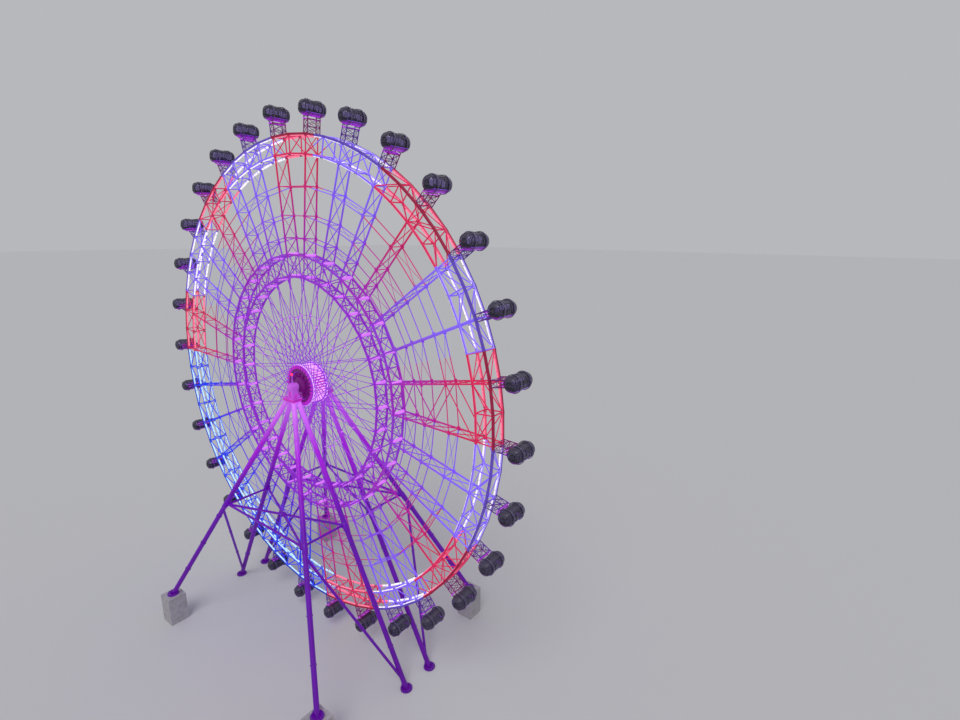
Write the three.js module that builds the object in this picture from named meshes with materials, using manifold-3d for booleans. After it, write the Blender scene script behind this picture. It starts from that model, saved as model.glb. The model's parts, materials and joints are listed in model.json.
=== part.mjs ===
// Large observation wheel, drawn as a 1:10 scale model in millimetres, +Z up.
// The wheel turns about the Y axis; its near face looks towards -Y and the ground is z = 0.
import * as THREE from "three";
import { mergeVertices } from "three/addons/utils/BufferGeometryUtils.js";
import Module from "manifold-3d";

const wasm = await Module();
wasm.setup();
const { Manifold, Mesh: SolidMesh } = wasm;

// Driving dimensions
const HUB_HEIGHT = 6250;
const RIM_INNER_RADIUS = 5000;
const RIM_OUTER_RADIUS = 5375;
const ROW_RADII = [4378, 3780, 3305];
const RING_OUTER_RADIUS = 2950;
const RING_INNER_RADIUS = 2475;
const CABIN_CIRCLE_RADIUS = 5850;
const WHEEL_HALF_WIDTH = 146;
const CABIN_COUNT = 30;
const SECTOR_COUNT = 5;
const REST_ANGLE_DEG = 10.28;
const SEAT_GAP = 0.3;

// Members of the wheel: half sizes from the middle line to a flat, radii to a corner
const INNER_CHORD_HALF = 17;
const OUTER_CHORD_HALF = 22;
const LADDER_HALF = 13;
const ROW_HALF = 9;
const ROW_TIE_RADIUS = 12;
const RING_CHORD_HALF = 18;
const RING_DRUM_RADIUS = 16;
const BRACE_RADIUS = 15;
const BRACE_SIDES = 3;

// Cables: they leave the flange almost along its edge and lean a little where they end
const CABLE_RADIUS = 9;
const CABLE_START_RADIUS = 446;
const CABLE_LEAD_DEG = 80;
const CABLE_END_TILT = 0.23;
const CABLE_LAYER_OFFSET = 14;

// Hub, spindle and heads
const HUB_RADIUS = 430;
const HUB_HALF_LENGTH = 150;
const HUB_SIDES = 30;
const FLANGE_RADIUS = 480;
const FLANGE_BORE_RADIUS = 330;
const FLANGE_BORE_SIDES = 20;
const FLANGE_THICKNESS = 62;
const BORE_OVERRUN = 1;
const SPINDLE_RADIUS = 75;
const SPINDLE_SIDES = 24;
const HEAD_CENTRE_Y = 430;
const HEAD_PLATE_SIZE = new THREE.Vector3(400, 262, 50);
const HEAD_BODY_SIZE = new THREE.Vector3(196, 210, 335);
const HEAD_UNDERSIDE_DROP = 295;

// Cabins and the stands that carry them
const CABIN_RADIUS = 165;
const CABIN_SIDES = 12;
const CABIN_HALF_LENGTH = 280;
const CABIN_STRAIGHT_HALF_LENGTH = 215;
const CABIN_END_RADIUS = 112;
const SADDLE_HALF = 8;
const SADDLE_HALF_WIDTH = 172;
const SADDLE_SEGMENTS = 3;
const SADDLE_SPAN_DEG = 108;
const STAND_FOOT_OFFSET = 190;
const STAND_FOOT_SINK = 8;
const POST_SWING_DEG = 36;

// Legs, their feet and the level frame that ties them
const LEG_RADIUS = 55;
const LEG_SIDES = 8;
const LEG_TOP_DROP = 300;
const LEG_TOP_X = 125;
const LEG_TOP_SPREAD_Y = 58;
const OUTER_FOOT = new THREE.Vector3(2925, 2355, 718);
const INNER_FOOT = new THREE.Vector3(3310, 372, 0);
const PIER_SIZE = 420;
const FOOT_PLATE_HEIGHT = 40;
const FOOT_PLATE_RADIUS = 130;
const FOOT_PLATE_SIDES = 12;
const FRAME_HEIGHT = 3300;
const FRAME_BITE = 16;
const FRAME_CUT = 400;
const FRAME_TUBE_RADIUS = 28;
const STRUT_DROP = 150;
const STRUT_RADIUS = 30;
const TIE_SIDES = 6;

// Limits of the solid work: points closer than the first weld, flats thinner than the second go
const WELD_DISTANCE = 1e-4;
const SLIVER = 0.1;
const NEARLY_ALONG_Y = 0.9;

const STATION_STEP = (2 * Math.PI) / CABIN_COUNT;
const STATIONS_PER_SECTOR = CABIN_COUNT / SECTOR_COUNT;
const REST_ANGLE = THREE.MathUtils.degToRad(REST_ANGLE_DEG);
const HUB_CENTRE = new THREE.Vector3(0, 0, HUB_HEIGHT);
const SPINDLE_END = HEAD_CENTRE_Y - HEAD_BODY_SIZE.y / 2 - SEAT_GAP;
const HEAD_UNDERSIDE = HUB_HEIGHT - HEAD_UNDERSIDE_DROP;
const SADDLE_STEP = THREE.MathUtils.degToRad(SADDLE_SPAN_DEG / SADDLE_SEGMENTS);
const SADDLE_RADIUS = (CABIN_RADIUS + SEAT_GAP) / Math.cos(SADDLE_STEP / 2) + SADDLE_HALF;
const NEAR = -1;
const FAR = 1;
const SIDES = [NEAR, FAR];
const LEFT = -1;
const RIGHT = 1;
const HANDS = [LEFT, RIGHT];

function material(color, roughness, metalness) {
  return new THREE.MeshStandardMaterial({ color, roughness, metalness });
}

const makeRimPaint = () => material(0xe6e3ee, 0.42, 0.25);
const makeWebPaint = () => material(0xdcd8ea, 0.45, 0.25);
const makeCablePaint = () => material(0xb9b6c6, 0.35, 0.75);
const makeHubPaint = () => material(0xe9e4f2, 0.4, 0.3);
const makeLegPaint = () => material(0xd8d2e4, 0.45, 0.25);
const makeSteel = () => material(0x8f8d99, 0.35, 0.85);
const makeConcrete = () => material(0x8d8990, 0.9, 0.0);
const makeCabinShell = () => material(0x33323f, 0.25, 0.35);

// A closed three.js geometry as a solid that can be joined and cut
function solid(geometry) {
  const bare = new THREE.BufferGeometry();
  bare.setAttribute("position", geometry.getAttribute("position"));
  bare.setIndex(geometry.getIndex());
  const merged = mergeVertices(bare, WELD_DISTANCE);
  return new Manifold(
    new SolidMesh({
      numProp: 3,
      vertProperties: new Float32Array(merged.getAttribute("position").array),
      triVerts: new Uint32Array(merged.getIndex().array),
    }),
  );
}

function solidFromArrays(positions, indices) {
  const geometry = new THREE.BufferGeometry();
  geometry.setAttribute("position", new THREE.Float32BufferAttribute(positions, 3));
  geometry.setIndex(indices);
  return solid(geometry);
}

function geometryFrom(body) {
  const mesh = body.getMesh();
  const geometry = new THREE.BufferGeometry();
  geometry.setAttribute("position", new THREE.BufferAttribute(mesh.vertProperties, 3));
  geometry.setIndex(new THREE.BufferAttribute(mesh.triVerts, 1));
  geometry.computeVertexNormals();
  return geometry;
}

// Joins bodies and clears away the slivers that joining leaves behind
const join = (bodies) => Manifold.union(bodies).asOriginal().simplify(SLIVER);

const cutBelow = (body, z) => body.trimByPlane([0, 0, 1], z);
const cutAbove = (body, z) => body.trimByPlane([0, 0, -1], -z);

// A point of the wheel from its distance to the axis, its angle and its place along the axis
function wheelPoint(radius, angle, y) {
  return new THREE.Vector3(radius * Math.cos(angle), y, HUB_HEIGHT + radius * Math.sin(angle));
}

const stationAngle = (station) => REST_ANGLE + station * STATION_STEP;

function sectorStations(sector) {
  return Array.from({ length: STATIONS_PER_SECTOR }, (_, index) => sector * STATIONS_PER_SECTOR + index);
}

// A straight bar with a few flat sides between two points
function bar(start, end, radius, sides, twist = 0) {
  const along = new THREE.Vector3().subVectors(end, start);
  const geometry = new THREE.CylinderGeometry(radius, radius, along.length(), sides, 1);
  geometry.rotateY(twist);
  const direction = along.clone().normalize();
  const alongY = Math.abs(direction.y) > NEARLY_ALONG_Y;
  const reference = alongY ? new THREE.Vector3(0, 0, 1) : new THREE.Vector3(0, 1, 0);
  const across = new THREE.Vector3().crossVectors(direction, reference).normalize();
  const third = new THREE.Vector3().crossVectors(across, direction).normalize();
  const middle = new THREE.Vector3().addVectors(start, end).multiplyScalar(0.5);
  geometry.applyMatrix4(new THREE.Matrix4().makeBasis(across, direction, third).setPosition(middle));
  return solid(geometry);
}

const brace = (start, end, radius = BRACE_RADIUS) => bar(start, end, radius, BRACE_SIDES);
const squareBar = (start, end, half) => bar(start, end, half * Math.SQRT2, 4, Math.PI / 4);

// A bar straight through the wheel from its near face to its far face
function crossTie(radius, angle, tieRadius) {
  const near = wheelPoint(radius, angle, -WHEEL_HALF_WIDTH);
  const far = wheelPoint(radius, angle, WHEEL_HALF_WIDTH);
  return brace(near, far, tieRadius);
}

function drum(radius, yStart, yEnd, sides) {
  const geometry = new THREE.CylinderGeometry(radius, radius, yEnd - yStart, sides, 1);
  geometry.translate(0, (yStart + yEnd) / 2, HUB_HEIGHT);
  return solid(geometry);
}

function block(width, depth, height, x, y, z) {
  const geometry = new THREE.BoxGeometry(width, depth, height);
  geometry.translate(x, y, z);
  return solid(geometry);
}

// Sections of bent bars, as corners [outward, along Y]
const squareSection = (half, halfWidth = half) => [
  [-half, -halfWidth],
  [half, -halfWidth],
  [half, halfWidth],
  [-half, halfWidth],
];
const triangleSection = (half) => [
  [-half, -half],
  [half, 0],
  [-half, half],
];

// A bar that bends around an axis along Y, with flat ends
function arcBar({ centre, y, section, angles, radii }) {
  const positions = [];
  angles.forEach((angle, index) => {
    for (const [outward, along] of section) {
      const reach = radii[index] + outward;
      positions.push(centre.x + reach * Math.cos(angle), y + along, centre.z + reach * Math.sin(angle));
    }
  });
  const corners = section.length;
  const indices = [];
  for (let ring = 0; ring < angles.length - 1; ring += 1) {
    for (let corner = 0; corner < corners; corner += 1) {
      const a = ring * corners + corner;
      const b = ring * corners + ((corner + 1) % corners);
      indices.push(a, b, b + corners, a, b + corners, a + corners);
    }
  }
  const last = (angles.length - 1) * corners;
  for (let corner = 1; corner < corners - 1; corner += 1) {
    indices.push(0, corner + 1, corner);
    indices.push(last, last + corner, last + corner + 1);
  }
  return solidFromArrays(positions, indices);
}

// The part of a ring of straight chords that lies in one sector, split midway between stations
function sectorChord(sector, radius, y, section, cornersPerStation) {
  const step = STATION_STEP / cornersPerStation;
  const first = stationAngle(sector * STATIONS_PER_SECTOR) - STATION_STEP / 2;
  const last = first + STATIONS_PER_SECTOR * STATION_STEP;
  const split = SEAT_GAP / 2 / radius;
  const angles = [first + split];
  const radii = [cornersPerStation === 1 ? radius * Math.cos(step / 2) : radius];
  const offset = cornersPerStation === 1 ? step / 2 : step;
  for (let corner = 0; corner < cornersPerStation * STATIONS_PER_SECTOR; corner += 1) {
    const angle = first + offset + corner * step;
    if (angle < last - step / 4) {
      angles.push(angle);
      radii.push(radius);
    }
  }
  angles.push(last - split);
  radii.push(radii[0]);
  return arcBar({ centre: HUB_CENTRE, y, section, angles, radii });
}

// The curved saddle plate that a cabin rolls in
function saddle(station) {
  const angle = stationAngle(station);
  const start = angle + Math.PI - (SADDLE_STEP * SADDLE_SEGMENTS) / 2;
  const angles = Array.from({ length: SADDLE_SEGMENTS + 1 }, (_, index) => start + index * SADDLE_STEP);
  return arcBar({
    centre: wheelPoint(CABIN_CIRCLE_RADIUS, angle, 0),
    y: 0,
    section: squareSection(SADDLE_HALF, SADDLE_HALF_WIDTH),
    angles,
    radii: angles.map(() => SADDLE_RADIUS),
  });
}

// Two sloping posts carry each saddle off the outer chord
function standPosts(station, y) {
  const angle = stationAngle(station);
  const centre = wheelPoint(CABIN_CIRCLE_RADIUS, angle, y);
  const swing = THREE.MathUtils.degToRad(POST_SWING_DEG);
  return HANDS.map((hand) => {
    const top = centre.clone();
    top.x -= SADDLE_RADIUS * Math.cos(angle + hand * swing);
    top.z -= SADDLE_RADIUS * Math.sin(angle + hand * swing);
    const footAngle = angle - (hand * STAND_FOOT_OFFSET) / RIM_OUTER_RADIUS;
    return brace(wheelPoint(RIM_OUTER_RADIUS - STAND_FOOT_SINK, footAngle, y), top);
  });
}

// Four chords of the rim, the bars between them and the stands of the cabins
function rimSector(sector) {
  const bodies = [];
  const chords = [
    [RIM_INNER_RADIUS, INNER_CHORD_HALF],
    [RIM_OUTER_RADIUS, OUTER_CHORD_HALF],
  ];
  for (const side of SIDES) {
    const y = side * WHEEL_HALF_WIDTH;
    for (const [radius, half] of chords) {
      bodies.push(sectorChord(sector, radius, y, squareSection(half), 2));
    }
    for (const station of sectorStations(sector)) {
      const angle = stationAngle(station);
      bodies.push(brace(wheelPoint(RIM_INNER_RADIUS, angle, y), wheelPoint(RIM_OUTER_RADIUS, angle, y)));
      bodies.push(...standPosts(station, y));
    }
  }
  for (const station of sectorStations(sector)) {
    bodies.push(saddle(station));
    for (const [radius] of chords) {
      bodies.push(crossTie(radius, stationAngle(station), BRACE_RADIUS));
    }
  }
  return join(bodies);
}

// Ladder trusses, their cross ties and the strong ring that they stand on
function webSector(sector) {
  const bodies = [];
  const chordSag = LADDER_HALF * Math.tan(STATION_STEP / 4);
  const ladderTop = RIM_INNER_RADIUS - INNER_CHORD_HALF - chordSag - SEAT_GAP;
  const ringRadii = [RING_INNER_RADIUS, RING_OUTER_RADIUS];
  for (const side of SIDES) {
    const y = side * WHEEL_HALF_WIDTH;
    for (const radius of ringRadii) {
      bodies.push(sectorChord(sector, radius, y, squareSection(RING_CHORD_HALF), 1));
    }
    for (const radius of ROW_RADII) {
      bodies.push(sectorChord(sector, radius, y, triangleSection(ROW_HALF), 1));
    }
    for (const station of sectorStations(sector)) {
      const angle = stationAngle(station);
      const ringOutside = wheelPoint(RING_OUTER_RADIUS, angle, y);
      bodies.push(brace(wheelPoint(RING_INNER_RADIUS, angle, y), ringOutside));
      bodies.push(squareBar(ringOutside, wheelPoint(ladderTop, angle, y), LADDER_HALF));
    }
  }
  for (const station of sectorStations(sector)) {
    const angle = stationAngle(station);
    bodies.push(...ROW_RADII.map((radius) => crossTie(radius, angle, ROW_TIE_RADIUS)));
    bodies.push(...ringRadii.map((radius) => crossTie(radius, angle, RING_DRUM_RADIUS)));
  }
  return join(bodies);
}

// A flange on the hub and the thin cables that run from it to the strong ring
function cableSpokes(side) {
  const flangeInner = HUB_HALF_LENGTH + SEAT_GAP;
  const flangeOuter = flangeInner + FLANGE_THICKNESS;
  const [yStart, yEnd] = side === NEAR ? [-flangeOuter, -flangeInner] : [flangeInner, flangeOuter];
  const bore = drum(FLANGE_BORE_RADIUS, yStart - BORE_OVERRUN, yEnd + BORE_OVERRUN, FLANGE_BORE_SIDES);
  const bodies = [drum(FLANGE_RADIUS, yStart, yEnd, HUB_SIDES).subtract(bore)];
  const lead = THREE.MathUtils.degToRad(CABLE_LEAD_DEG);
  const clear = RING_CHORD_HALF + SEAT_GAP + CABLE_RADIUS * CABLE_END_TILT;
  for (let station = 0; station < CABIN_COUNT; station += 1) {
    const angle = stationAngle(station);
    for (const hand of HANDS) {
      const layer = hand * CABLE_LAYER_OFFSET;
      const start = wheelPoint(CABLE_START_RADIUS, angle + hand * lead, (yStart + yEnd) / 2 + layer);
      const end = wheelPoint(RING_INNER_RADIUS - clear, angle, side * WHEEL_HALF_WIDTH + layer);
      bodies.push(brace(start, end, CABLE_RADIUS));
    }
  }
  return join(bodies);
}

// The hub turns on the spindle, with a running gap all round the bore
function hubDrum() {
  const boreRadius = (SPINDLE_RADIUS + SEAT_GAP) / Math.cos(Math.PI / SPINDLE_SIDES);
  const boreEnd = HUB_HALF_LENGTH + BORE_OVERRUN;
  const bore = drum(boreRadius, -boreEnd, boreEnd, SPINDLE_SIDES);
  return drum(HUB_RADIUS, -HUB_HALF_LENGTH, HUB_HALF_LENGTH, HUB_SIDES).subtract(bore);
}

// The plate that the four legs of a side meet under, and the body on it that holds the spindle
function spindleHead(side) {
  const y = side * HEAD_CENTRE_Y;
  const plate = HEAD_PLATE_SIZE;
  const body = HEAD_BODY_SIZE;
  const bodyMiddle = HEAD_UNDERSIDE + plate.z + body.z / 2;
  return join([
    block(plate.x, plate.y, plate.z, 0, y, HEAD_UNDERSIDE + plate.z / 2),
    block(body.x, body.y, body.z, 0, y, bodyMiddle),
  ]);
}

// The two ends of a leg's middle line
function legLine(side, hand, row) {
  const spread = row === "outer" ? LEG_TOP_SPREAD_Y : -LEG_TOP_SPREAD_Y;
  const topY = side * (HEAD_CENTRE_Y + spread);
  const foot = row === "outer" ? OUTER_FOOT : INNER_FOOT;
  return {
    top: new THREE.Vector3(hand * LEG_TOP_X, topY, HUB_HEIGHT - LEG_TOP_DROP),
    bottom: new THREE.Vector3(hand * foot.x, side * foot.y, foot.z),
  };
}

function pointAtHeight({ top, bottom }, z) {
  return new THREE.Vector3().lerpVectors(bottom, top, (z - bottom.z) / (top.z - bottom.z));
}

// The tube of a leg, cut level above its foot and under its head
function legTube(line, footHeight) {
  const low = pointAtHeight(line, line.bottom.z - LEG_RADIUS);
  const high = pointAtHeight(line, HEAD_UNDERSIDE + LEG_RADIUS);
  const tube = bar(low, high, LEG_RADIUS, LEG_SIDES);
  return cutAbove(cutBelow(tube, footHeight), HEAD_UNDERSIDE - SEAT_GAP);
}

function footPlate(foot, footHeight) {
  const radius = FOOT_PLATE_RADIUS;
  const geometry = new THREE.CylinderGeometry(radius, radius, FOOT_PLATE_HEIGHT, FOOT_PLATE_SIDES, 1);
  geometry.rotateX(Math.PI / 2);
  geometry.translate(foot.x, foot.y, footHeight + FOOT_PLATE_HEIGHT / 2);
  return solid(geometry);
}

// The outer leg stands on its pier
function outerLeg(side, hand) {
  const line = legLine(side, hand, "outer");
  const footHeight = line.bottom.z + SEAT_GAP;
  return join([legTube(line, footHeight), footPlate(line.bottom, footHeight)]);
}

// The inner leg stands on the ground, with a strut from its foot up to the outer leg
function innerLeg(side, hand) {
  const line = legLine(side, hand, "inner");
  const footHeight = line.bottom.z;
  return join([legTube(line, footHeight), footPlate(line.bottom, footHeight), strut(side, hand)]);
}

// A solid a seat gap larger than the leg, to cut away what would touch it
function legClearance(line, height) {
  const low = pointAtHeight(line, height - FRAME_CUT);
  const high = pointAtHeight(line, height + FRAME_CUT);
  return bar(low, high, LEG_RADIUS + SEAT_GAP, LEG_SIDES);
}

// The corner of the level frame beside a leg, a little inwards so that the frame lies against the tube
function frameCorner(line) {
  const corner = pointAtHeight(line, FRAME_HEIGHT);
  const lean = new THREE.Vector3().subVectors(line.top, line.bottom);
  const inwards = ((LEG_RADIUS + FRAME_TUBE_RADIUS - FRAME_BITE) * Math.hypot(lean.x, lean.z)) / lean.z;
  corner.x -= Math.sign(corner.x) * inwards;
  return corner;
}

// The level frame at mid height that ties the four legs of one side together
function legFrame(side) {
  const [outerLeft, outerRight] = HANDS.map((hand) => legLine(side, hand, "outer"));
  const [innerLeft, innerRight] = HANDS.map((hand) => legLine(side, hand, "inner"));
  const ties = [
    [outerLeft, outerRight],
    [outerLeft, innerLeft],
    [outerRight, innerRight],
    [outerLeft, innerRight],
    [outerRight, innerLeft],
  ];
  const bars = ties.map(([start, end]) =>
    bar(frameCorner(start), frameCorner(end), FRAME_TUBE_RADIUS, TIE_SIDES),
  );
  return [outerLeft, outerRight, innerLeft, innerRight].reduce(
    (frame, line) => frame.subtract(legClearance(line, FRAME_HEIGHT)),
    join(bars),
  );
}

// A sloping strut from the outer leg, just under the level frame, down into the foot of the inner leg
function strut(side, hand) {
  const outer = legLine(side, hand, "outer");
  const topHeight = FRAME_HEIGHT - STRUT_DROP;
  const start = pointAtHeight(outer, topHeight);
  const end = pointAtHeight(legLine(side, hand, "inner"), FOOT_PLATE_HEIGHT + LEG_RADIUS * 2);
  return bar(start, end, STRUT_RADIUS, TIE_SIDES).subtract(legClearance(outer, topHeight));
}

function pier(side, hand) {
  const { x, y, z } = OUTER_FOOT;
  return block(PIER_SIZE, PIER_SIZE, z, hand * x, side * y, z / 2);
}

// A closed capsule whose section is round, so that it can roll level in its saddle
function cabin(station) {
  const profile = [
    [CABIN_END_RADIUS, -CABIN_HALF_LENGTH],
    [CABIN_RADIUS, -CABIN_STRAIGHT_HALF_LENGTH],
    [CABIN_RADIUS, CABIN_STRAIGHT_HALF_LENGTH],
    [CABIN_END_RADIUS, CABIN_HALF_LENGTH],
  ];
  const angle = stationAngle(station);
  const seatAngle = angle + Math.PI;
  const centre = wheelPoint(CABIN_CIRCLE_RADIUS, angle, 0);
  const positions = [];
  for (const [radius, y] of profile) {
    for (let side = 0; side < CABIN_SIDES; side += 1) {
      const turn = seatAngle + (side * 2 * Math.PI) / CABIN_SIDES;
      positions.push(centre.x + radius * Math.cos(turn), y, centre.z + radius * Math.sin(turn));
    }
  }
  const indices = [];
  for (let ring = 0; ring < profile.length - 1; ring += 1) {
    for (let side = 0; side < CABIN_SIDES; side += 1) {
      const a = ring * CABIN_SIDES + side;
      const b = ring * CABIN_SIDES + ((side + 1) % CABIN_SIDES);
      indices.push(a, a + CABIN_SIDES, b, b, a + CABIN_SIDES, b + CABIN_SIDES);
    }
  }
  const last = (profile.length - 1) * CABIN_SIDES;
  for (let side = 1; side < CABIN_SIDES - 1; side += 1) {
    indices.push(0, side, side + 1);
    indices.push(last, last + side + 1, last + side);
  }
  return solidFromArrays(positions, indices);
}

const wheel = new THREE.Group();
wheel.name = "observation_wheel";

function place(name, body, paint) {
  const mesh = new THREE.Mesh(geometryFrom(body), paint);
  mesh.name = name;
  wheel.add(mesh);
}

const sideName = (side) => (side === NEAR ? "near" : "far");
const handName = (hand) => (hand === LEFT ? "left" : "right");

for (const side of SIDES) {
  for (const hand of HANDS) {
    const where = `${sideName(side)}_${handName(hand)}`;
    place(`outer_leg_${where}`, outerLeg(side, hand), makeLegPaint());
    place(`inner_leg_${where}`, innerLeg(side, hand), makeLegPaint());
    place(`foot_pier_${where}`, pier(side, hand), makeConcrete());
  }
  place(`leg_frame_${sideName(side)}`, legFrame(side), makeLegPaint());
  place(`spindle_head_${sideName(side)}`, spindleHead(side), makeHubPaint());
  place(`cable_spokes_${sideName(side)}`, cableSpokes(side), makeCablePaint());
}
place("spindle", drum(SPINDLE_RADIUS, -SPINDLE_END, SPINDLE_END, SPINDLE_SIDES), makeSteel());
place("hub_drum", hubDrum(), makeHubPaint());
for (let sector = 0; sector < SECTOR_COUNT; sector += 1) {
  place(`rim_sector_${sector + 1}`, rimSector(sector), makeRimPaint());
  place(`web_sector_${sector + 1}`, webSector(sector), makeWebPaint());
}
for (let station = 0; station < CABIN_COUNT; station += 1) {
  place(`cabin_${String(station + 1).padStart(2, "0")}`, cabin(station), makeCabinShell());
}

export default wheel;
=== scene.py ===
"""Large observation wheel: lit rim, finer bracing, hub, leg fittings and cabins.

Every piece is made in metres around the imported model, with +Z up and the wheel's axis along Y.
"""
import json
import math

import bmesh
import bpy
from mathutils import Matrix, Vector

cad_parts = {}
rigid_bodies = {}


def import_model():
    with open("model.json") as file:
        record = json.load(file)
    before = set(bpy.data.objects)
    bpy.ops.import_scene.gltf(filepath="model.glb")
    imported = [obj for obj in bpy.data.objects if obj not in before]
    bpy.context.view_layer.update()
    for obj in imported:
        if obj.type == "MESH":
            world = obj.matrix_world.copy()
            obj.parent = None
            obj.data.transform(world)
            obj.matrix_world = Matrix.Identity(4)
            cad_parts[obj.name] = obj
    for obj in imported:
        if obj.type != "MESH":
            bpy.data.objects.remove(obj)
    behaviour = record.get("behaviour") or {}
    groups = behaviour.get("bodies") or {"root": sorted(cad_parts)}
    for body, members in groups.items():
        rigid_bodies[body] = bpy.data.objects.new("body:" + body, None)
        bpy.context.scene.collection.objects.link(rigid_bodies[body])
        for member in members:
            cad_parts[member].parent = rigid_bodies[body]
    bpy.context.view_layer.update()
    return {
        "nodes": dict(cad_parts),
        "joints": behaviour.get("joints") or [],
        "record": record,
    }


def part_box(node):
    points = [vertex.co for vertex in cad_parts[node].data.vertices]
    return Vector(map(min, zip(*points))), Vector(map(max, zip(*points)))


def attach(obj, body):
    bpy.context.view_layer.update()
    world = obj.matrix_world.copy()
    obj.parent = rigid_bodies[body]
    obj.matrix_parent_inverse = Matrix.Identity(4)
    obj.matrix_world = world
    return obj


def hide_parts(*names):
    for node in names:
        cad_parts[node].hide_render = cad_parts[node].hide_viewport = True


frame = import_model()

bl_info = {
    "name": "Observation wheel",
    "version": (1, 0, 0),
    "blender": (4, 5, 0),
    "location": "3D View > Sidebar > Wheel",
    "description": "Dresses a packed observation wheel with its lights, bracing, fittings and cabins",
    "category": "Object",
}

# What the frame gives: the hub, the cabins' places and the ends of the parts they sit on
JOINTS = {joint["name"]: joint for joint in frame["joints"]}
HUB = Vector(JOINTS["wheel_spin"]["pos_m"])
CAPSULES = {
    joint["child"]: Vector(joint["pos_m"])
    for joint in frame["joints"]
    if joint["parent"] == "wheel"
}
CABIN_NODES = {body: frame["record"]["behaviour"]["bodies"][body][0] for body in CAPSULES}
STATION_COUNT = len(CAPSULES)
FIRST_CABIN = CAPSULES[min(CAPSULES)] - HUB
CABIN_CIRCLE = FIRST_CABIN.length
REST_ANGLE = math.atan2(FIRST_CABIN.z, FIRST_CABIN.x)
STATION_STEP = 2 * math.pi / STATION_COUNT
PANEL_STEP = STATION_STEP / 2
SECTOR_COUNT = sum(name.startswith("rim_sector_") for name in frame["nodes"])
STATIONS_PER_SECTOR = STATION_COUNT // SECTOR_COUNT
PANELS_PER_SECTOR = 2 * STATIONS_PER_SECTOR

HUB_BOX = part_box("hub_drum")
HUB_RADIUS = (HUB_BOX[1].z - HUB_BOX[0].z) / 2
HUB_HALF_LENGTH = HUB_BOX[1].y
SPINDLE_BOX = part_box("spindle")
SPINDLE_RADIUS = (SPINDLE_BOX[1].z - SPINDLE_BOX[0].z) / 2
SPINDLE_END = SPINDLE_BOX[1].y
HEAD_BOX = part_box("spindle_head_far")
FRAME_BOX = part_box("leg_frame_far")
FRAME_HEIGHT = (FRAME_BOX[0].z + FRAME_BOX[1].z) / 2

NEAR, FAR = -1, 1
SIDES = (NEAR, FAR)
HANDS = (-1, 1)
SIDE_NAMES = {NEAR: "near", FAR: "far"}
HAND_NAMES = {-1: "left", 1: "right"}

# Directions of the model: across the wheel's face, along its axle and upwards
ACROSS = Vector((1, 0, 0))
ALONG = Vector((0, 1, 0))
UP = Vector((0, 0, 1))

# Lit sectors of the rim by panel number, counter-clockwise from the first panel under the hub.
# Ladders stand on the even panels, so a sector that ends at one ends just beside it.
LIGHT_SECTORS = (
    (-16, "red"),
    (-12.5, "white"),
    (-9.5, "red"),
    (-6.08, "white"),
    (-2.08, "red"),
    (1, "white"),
    (4.08, "red"),
    (7.92, "white"),
    (11.5, "red"),
    (14.08, "white"),
    (18.08, "red"),
    (21, "white"),
    (25, "red"),
    (28.08, "blue"),
)
PANEL_COUNT = 2 * STATION_COUNT


class WheelSizes(bpy.types.PropertyGroup):
    """Driving sizes of the wheel's dressing."""

    rim_inner: bpy.props.FloatProperty(
        name="Inner rim radius", description="Radius of the two inner chords",
        default=5.0, unit="LENGTH",
    )
    rim_outer: bpy.props.FloatProperty(
        name="Outer rim radius", description="Radius of the two outer chords",
        default=5.375, unit="LENGTH",
    )
    rows: bpy.props.FloatVectorProperty(
        name="Tie row radii", description="Radii of the rows of ties between ring and rim",
        size=3, default=(3.305, 3.78, 4.378), unit="LENGTH",
    )
    ring_outer: bpy.props.FloatProperty(
        name="Outer ring radius", description="Outer chord of the strong ring",
        default=2.95, unit="LENGTH",
    )
    ring_inner: bpy.props.FloatProperty(
        name="Inner ring radius", description="Inner chord of the strong ring",
        default=2.475, unit="LENGTH",
    )
    half_width: bpy.props.FloatProperty(
        name="Half width", description="From the wheel's middle plane to its chords",
        default=0.146, unit="LENGTH",
    )
    inner_half: bpy.props.FloatProperty(
        name="Inner chord half size", description="Half the side of an inner rim chord",
        default=0.017, unit="LENGTH",
    )
    outer_half: bpy.props.FloatProperty(
        name="Outer chord half size", description="Half the side of an outer rim chord",
        default=0.022, unit="LENGTH",
    )
    ring_half: bpy.props.FloatProperty(
        name="Ring chord half size", description="Half the side of a chord of the strong ring",
        default=0.018, unit="LENGTH",
    )
    brace: bpy.props.FloatProperty(
        name="Brace radius", description="Radius of the rim's bracing tubes",
        default=0.011, unit="LENGTH",
    )
    rod: bpy.props.FloatProperty(
        name="Rod radius", description="Radius of the ladders' crossing rods",
        default=0.0075, unit="LENGTH",
    )
    drum: bpy.props.FloatProperty(
        name="Ring drum radius", description="Radius of the drums across the strong ring",
        default=0.034, unit="LENGTH",
    )
    light_tube: bpy.props.FloatProperty(
        name="Light tube radius", description="Radius of the lighting tubes on the rim",
        default=0.02, unit="LENGTH",
    )
    cabin: bpy.props.FloatProperty(
        name="Cabin radius", description="Radius of a cabin's shell, inside its two hoops",
        default=0.146, unit="LENGTH",
    )
    cabin_half: bpy.props.FloatProperty(
        name="Cabin half length", description="Half the length of a cabin along the axis",
        default=0.278, unit="LENGTH",
    )
    leg: bpy.props.FloatProperty(
        name="Leg radius", description="Radius of a leg's tube", default=0.055, unit="LENGTH",
    )
    strut: bpy.props.FloatProperty(
        name="Strut radius", description="Radius of a foot strut's tube",
        default=0.03, unit="LENGTH",
    )


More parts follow.
